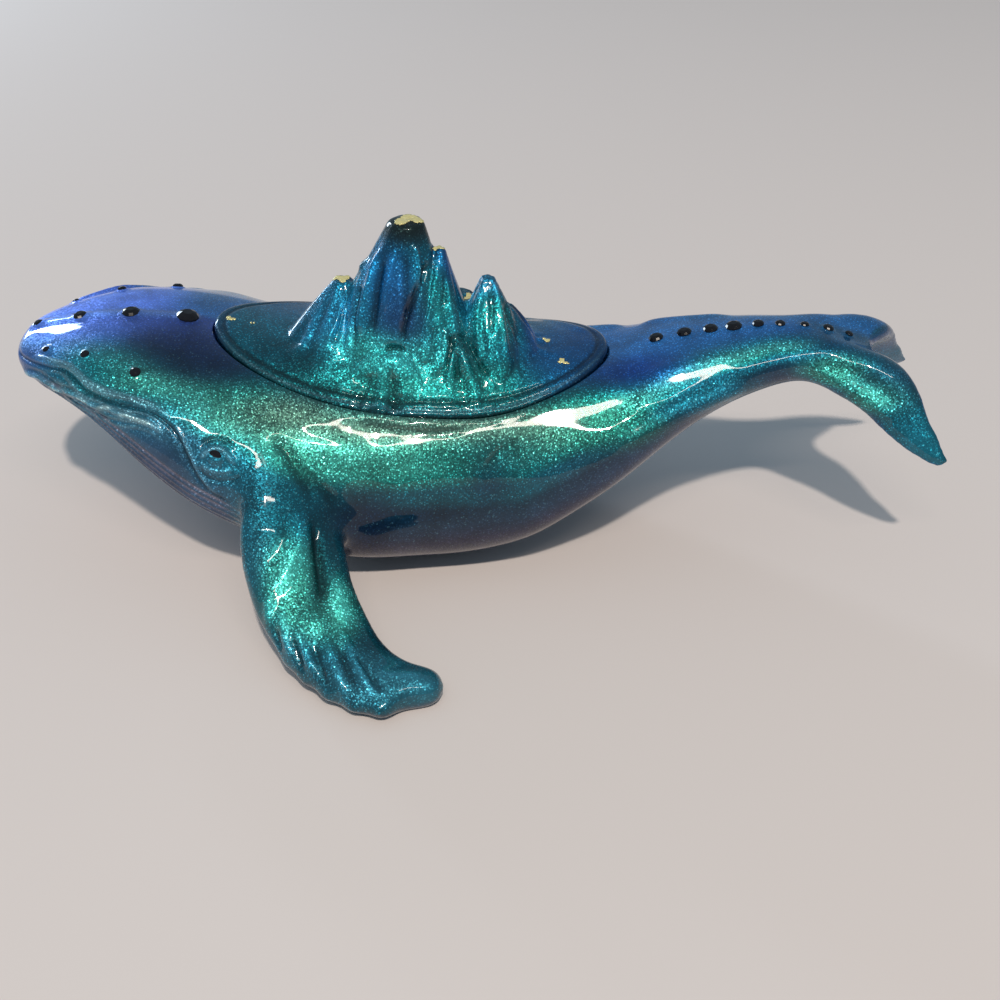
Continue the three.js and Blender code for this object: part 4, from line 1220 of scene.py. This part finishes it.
def resin_material(name, grain_scale):
    """Pearl pigment that was tinted point by point, painted sheen, highlights and shade included, with mica
    grain and glitter under a clear coat.
    """
    material, tree, shader = new_material(name)
    place = node(tree, "TexCoord", {}).outputs["Object"]
    pigment = node(tree, "Attribute", {}, attribute_name="tint")
    amount = pigment.outputs["Alpha"]
    swirl = ranged(tree, noise(tree, place, 85, 4, 0.8), 0.32, 0.68, 0.72, 1.2)
    colour = mixed(tree, "MULTIPLY", 1, pigment.outputs["Color"], swirl)
    grain = node(tree, "TexVoronoi", {"Vector": place, "Scale": grain_scale}).outputs["Color"]
    parts = node(tree, "SeparateColor", {"Color": grain})
    uneven = worked(tree, "Math", "POWER", parts.outputs["Red"], 2.5)
    colour = mixed(tree, "MULTIPLY", amount, colour, ranged(tree, uneven, 0, 1, 0.62, 1.7))
    speck = node(tree, "TexVoronoi", {"Vector": place, "Scale": DOT_SCALE}).outputs["Distance"]
    colour = mixed(tree, "MULTIPLY", amount, colour, ranged(tree, speck, 0.20, 0.32, 3.6, 0.84))
    picked = worked(tree, "Math", "GREATER_THAN", parts.outputs["Green"], 1 - GLITTER_SHARE)
    chosen = worked(tree, "Math", "MULTIPLY", picked, amount)
    glint = mixed(tree, "MIX", 0.3, mixed(tree, "MULTIPLY", 1, colour, (4, 4, 4)), (0.25, 0.6, 0.55))
    tilt = worked(tree, "VectorMath", "SUBTRACT", grain, (0.5, 0.5, 0.5))
    scaled = node(tree, "VectorMath", {0: tilt, "Scale": FLAKE_TILT}, operation="SCALE").outputs[0]
    normal = node(tree, "NewGeometry", {}).outputs["Normal"]
    flaked = worked(tree, "VectorMath", "NORMALIZE", worked(tree, "VectorMath", "ADD", normal, scaled))
    set_inputs(tree, shader, {
        "Base Color": mixed(tree, "MIX", chosen, colour, glint), "Normal": flaked,
        "Metallic": 0.6, "Roughness": 0.4, "IOR": 1.5, "Specular IOR Level": 0.0,
        "Coat Weight": 1.0, "Coat Roughness": 0.04, "Coat IOR": 1.44,
    })
    return material


def cloudy_material(name, scale, detail, dark, pale):
    """A material whose colour wavers between two; its tree, its shader and the wavering too."""
    material, tree, shader = new_material(name)
    cloud = noise(tree, node(tree, "TexCoord", {}).outputs["Object"], scale, detail)
    set_inputs(tree, shader, {"Base Color": mixed(tree, "MIX", cloud, dark, pale)})
    return material, tree, shader, cloud


def gem_material():
    material, tree, shader, _ = cloudy_material(
        "black_gem", 500, 2, (0.004, 0.004, 0.005), (0.012, 0.012, 0.016))
    set_inputs(tree, shader, {"Roughness": 0.05, "IOR": 1.36})
    return material


def gold_material():
    material, tree, shader, cloud = cloudy_material(
        "gold_leaf", 1500, 3, (0.70, 0.56, 0.16), (1.0, 0.93, 0.50))
    crinkle = node(tree, "Bump", {"Height": cloud, "Strength": 0.6, "Distance": 0.0002})
    set_inputs(tree, shader, {
        "Normal": crinkle.outputs[0], "Metallic": 0.35, "Roughness": 0.25,
        "Coat Weight": 0.6, "Coat Roughness": 0.05,
    })
    return material


# Gems

GEM_SIDES = 12
# Share of the radius, height over diameter, turn in sides
GEM_RINGS = [(1.0, 0.0, 0), (1.0, 0.08, 0), (0.80, 0.2, 0), (0.46, 0.28, 0.5)]
EYE_WAY = (0.76, 0.0, -0.65)
EYE_LONG = 1.4
EYE_SHORT = 0.72


def make_gem(name, material):
    """A flat-back gem over a CAD gem: girdle, two rows of facets, and a table turned half a step."""
    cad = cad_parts[name].data
    corners = mesh_points(cad)
    centre = corners.mean(0)
    axis = np.array(max(cad.polygons, key=lambda face: face.area).normal)
    outward = np.array((0, 0, 1)) if abs(axis[2]) > 0.3 else centre * (0, 1, 0)
    axis = axis * np.sign(axis @ outward)
    heights = (corners - centre) @ axis
    radius = np.linalg.norm((corners - centre) - np.outer(heights, axis), axis=1).max()
    base = centre + axis * heights.min()
    eye = name.startswith("eye")
    side = np.array(EYE_WAY) - axis * (axis @ EYE_WAY) if eye else np.cross(axis, (1, 0, 0))
    side = side / np.linalg.norm(side)
    other = np.cross(axis, side) * (EYE_SHORT if eye else 1)
    side = side * (EYE_LONG if eye else 1)
    rings = []
    for share, height, shift in GEM_RINGS:
        turn = 2 * math.pi * (np.arange(GEM_SIDES) + shift) / GEM_SIDES
        spots = np.outer(np.cos(turn), side) + np.outer(np.sin(turn), other)
        rings.append((base + radius * share * spots + axis * height * 2 * radius).T)
    bm = bmesh.new()
    girdle = [bm.verts.new(spot) for spot in zip(*rings[0])]
    bm.faces.new(add_rings(bm, girdle, rings[1:], 1))
    bm.faces.new(girdle[::-1])
    bmesh.ops.triangulate(bm, faces=[f for f in bm.faces if len(f.verts) == 4])
    bmesh.ops.recalc_face_normals(bm, faces=bm.faces)
    bmesh.ops.scale(bm, vec=(MM, MM, MM), verts=bm.verts)
    piece = new_piece(name + "_cut", bm, material)
    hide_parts(name)
    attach(piece, "holder")


# Gold leaf

LEAF_LIFT = 0.1  # millimetres above the resin
LEAF_CRINKLE = 0.14
LEAF_THICKNESS = 0.08
# Each scrap of leaf: radius, stretch along x, y and z
LEAVES = {
    "plate_flake_1": (1.25, (1, 0.9, 1)),
    "plate_flake_2": (0.65, (1, 0.8, 1)),
    "plate_flake_3": (0.95, (1, 1, 1)),
    "plate_flake_4": (1.4, (1, 0.7, 1)),
    "peak_flake_1": (3.0, (1, 1, 1)),
    "peak_flake_2": (1.9, (1, 1, 1)),
    "peak_flake_3": (1.5, (0.8, 1, 2.2)),
    "peak_flake_4": (1.6, (0.7, 1, 1.4)),
}


def make_leaf(node_name, resin, material):
    """A torn, crinkled scrap of leaf that lies on the lid's surface, over a CAD chip."""
    radius, stretch = LEAVES[node_name]
    low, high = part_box(node_name)
    gap = (face_centres(resin) - np.array((low + high) / 2) / MM) / np.array(stretch)
    turn = np.arctan2(gap[:, 1], gap[:, 0])
    phase = RANDOM.uniform(0, 2 * math.pi, 2)
    torn = 1 + 0.25 * np.cos(3 * turn + phase[0]) + 0.2 * np.cos(2 * turn + phase[1])
    beyond = np.where(~(np.linalg.norm(gap, axis=1) < radius * torn))[0]
    bm = open_mesh(resin)
    bmesh.ops.delete(bm, geom=[bm.faces[i] for i in beyond], context="FACES")
    bmesh.ops.subdivide_edges(bm, edges=bm.edges, cuts=1, use_grid_fill=True)
    for vert in bm.verts:
        vert.co += vert.normal * (LEAF_LIFT + RANDOM.uniform(0, LEAF_CRINKLE)) * MM
    piece = new_piece(node_name + "_leaf", bm, material)
    piece.modifiers.new("Thickness", "SOLIDIFY").thickness = LEAF_THICKNESS * MM
    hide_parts(node_name)
    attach(piece, "lid")


# Studio

FLOOR_SIZE = 1.8
WARM = (1.0, 0.90, 0.79)
COOL = (0.72, 0.87, 1.0)
HEAD_TOP = (-97, -5, 60)
# Each light: way from its target, distance, size, power, colour, target, roll in degrees
LIGHTS = {
    "key": ((0.08, -0.57, 0.82), 2.5, (0.09, 0.09), 38.0, WARM, (0, 0, 0), 0),
    "strip": (STRIP_WAY, 2.5, (1.6, 0.09), 11.0, WARM, (0, 0, 0), 0),
    "panel": ((-0.592, 0.771, 0.233), 0.9, (0.087, 0.43), 2.2, COOL, HEAD_TOP, 22),
}
PALE = (0.68, 0.62, 0.60)
SKY = (0.60, 0.82, 1.0)
SKY_STRENGTH = 0.34
BACKDROP = 0.55
BACKDROP_COLOUR = (1.0, 0.97, 0.95)


def area_light(name, way, distance, size, power, colour, target, roll):
    """A rectangle of light in the way given from its target, turned about that way by roll degrees."""
    data = bpy.data.lights.new(name, "AREA")
    data.shape = "RECTANGLE"
    data.size, data.size_y = size
    data.energy = power
    data.color = colour
    lamp = new_object(name, data)
    towards = Vector(way).normalized()
    lamp.location = Vector(target) * MM + towards * distance
    turned_way = towards.to_track_quat("Z", "Y") @ Quaternion((0, 0, 1), math.radians(roll))
    lamp.rotation_euler = turned_way.to_euler()


def make_studio():
    bm = bmesh.new()
    bmesh.ops.create_grid(bm, x_segments=1, y_segments=1, size=FLOOR_SIZE / 2)
    material, tree, shader = new_material("floor")
    set_inputs(tree, shader, {"Base Color": (*PALE, 1), "Roughness": 0.9, "Specular IOR Level": 0.2})
    floor = new_piece("floor", bm, material)
    for name, light in LIGHTS.items():
        area_light(name, *light)
    world = bpy.data.worlds.new("studio")
    world.use_nodes = True
    tree = world.node_tree
    seen = node(tree, "LightPath", {}).outputs["Is Camera Ray"]
    set_inputs(tree, tree.nodes["Background"], {
        "Strength": node(tree, "Mix", {0: seen, 2: SKY_STRENGTH, 3: BACKDROP}).outputs[0],
        "Color": mixed(tree, "MIX", seen, SKY, BACKDROP_COLOUR),
    })
    bpy.context.scene.world = world
    bpy.context.scene.view_settings.view_transform = "Standard"


def make_camera():
    back = Vector(CAMERA_BACK)
    data = bpy.data.cameras.new("camera")
    data.lens = CAMERA_LENS
    data.sensor_width = SENSOR_WIDTH
    camera = new_object("camera", data)
    camera.location = (Vector(CAMERA_TARGET) + back * CAMERA_DISTANCE) * MM
    camera.rotation_euler = back.to_track_quat("Z", "Y").to_euler()
    bpy.context.scene.camera = camera


# Everything, in order

make_camera()
make_studio()

body = make_body()
body.data.materials.append(resin_material("whale_resin", 3000))
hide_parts("whale_body")
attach(body, "holder")

lid = make_lid()
lid.data.materials.append(resin_material("lid_resin", 3400))
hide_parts("mountain_lid")
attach(lid, "lid")

black = gem_material()
gold = gold_material()
for name in sorted(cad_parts):
    if "_gem_" in name:
        make_gem(name, black)
    if "_flake_" in name:
        make_leaf(name, lid.data, gold)
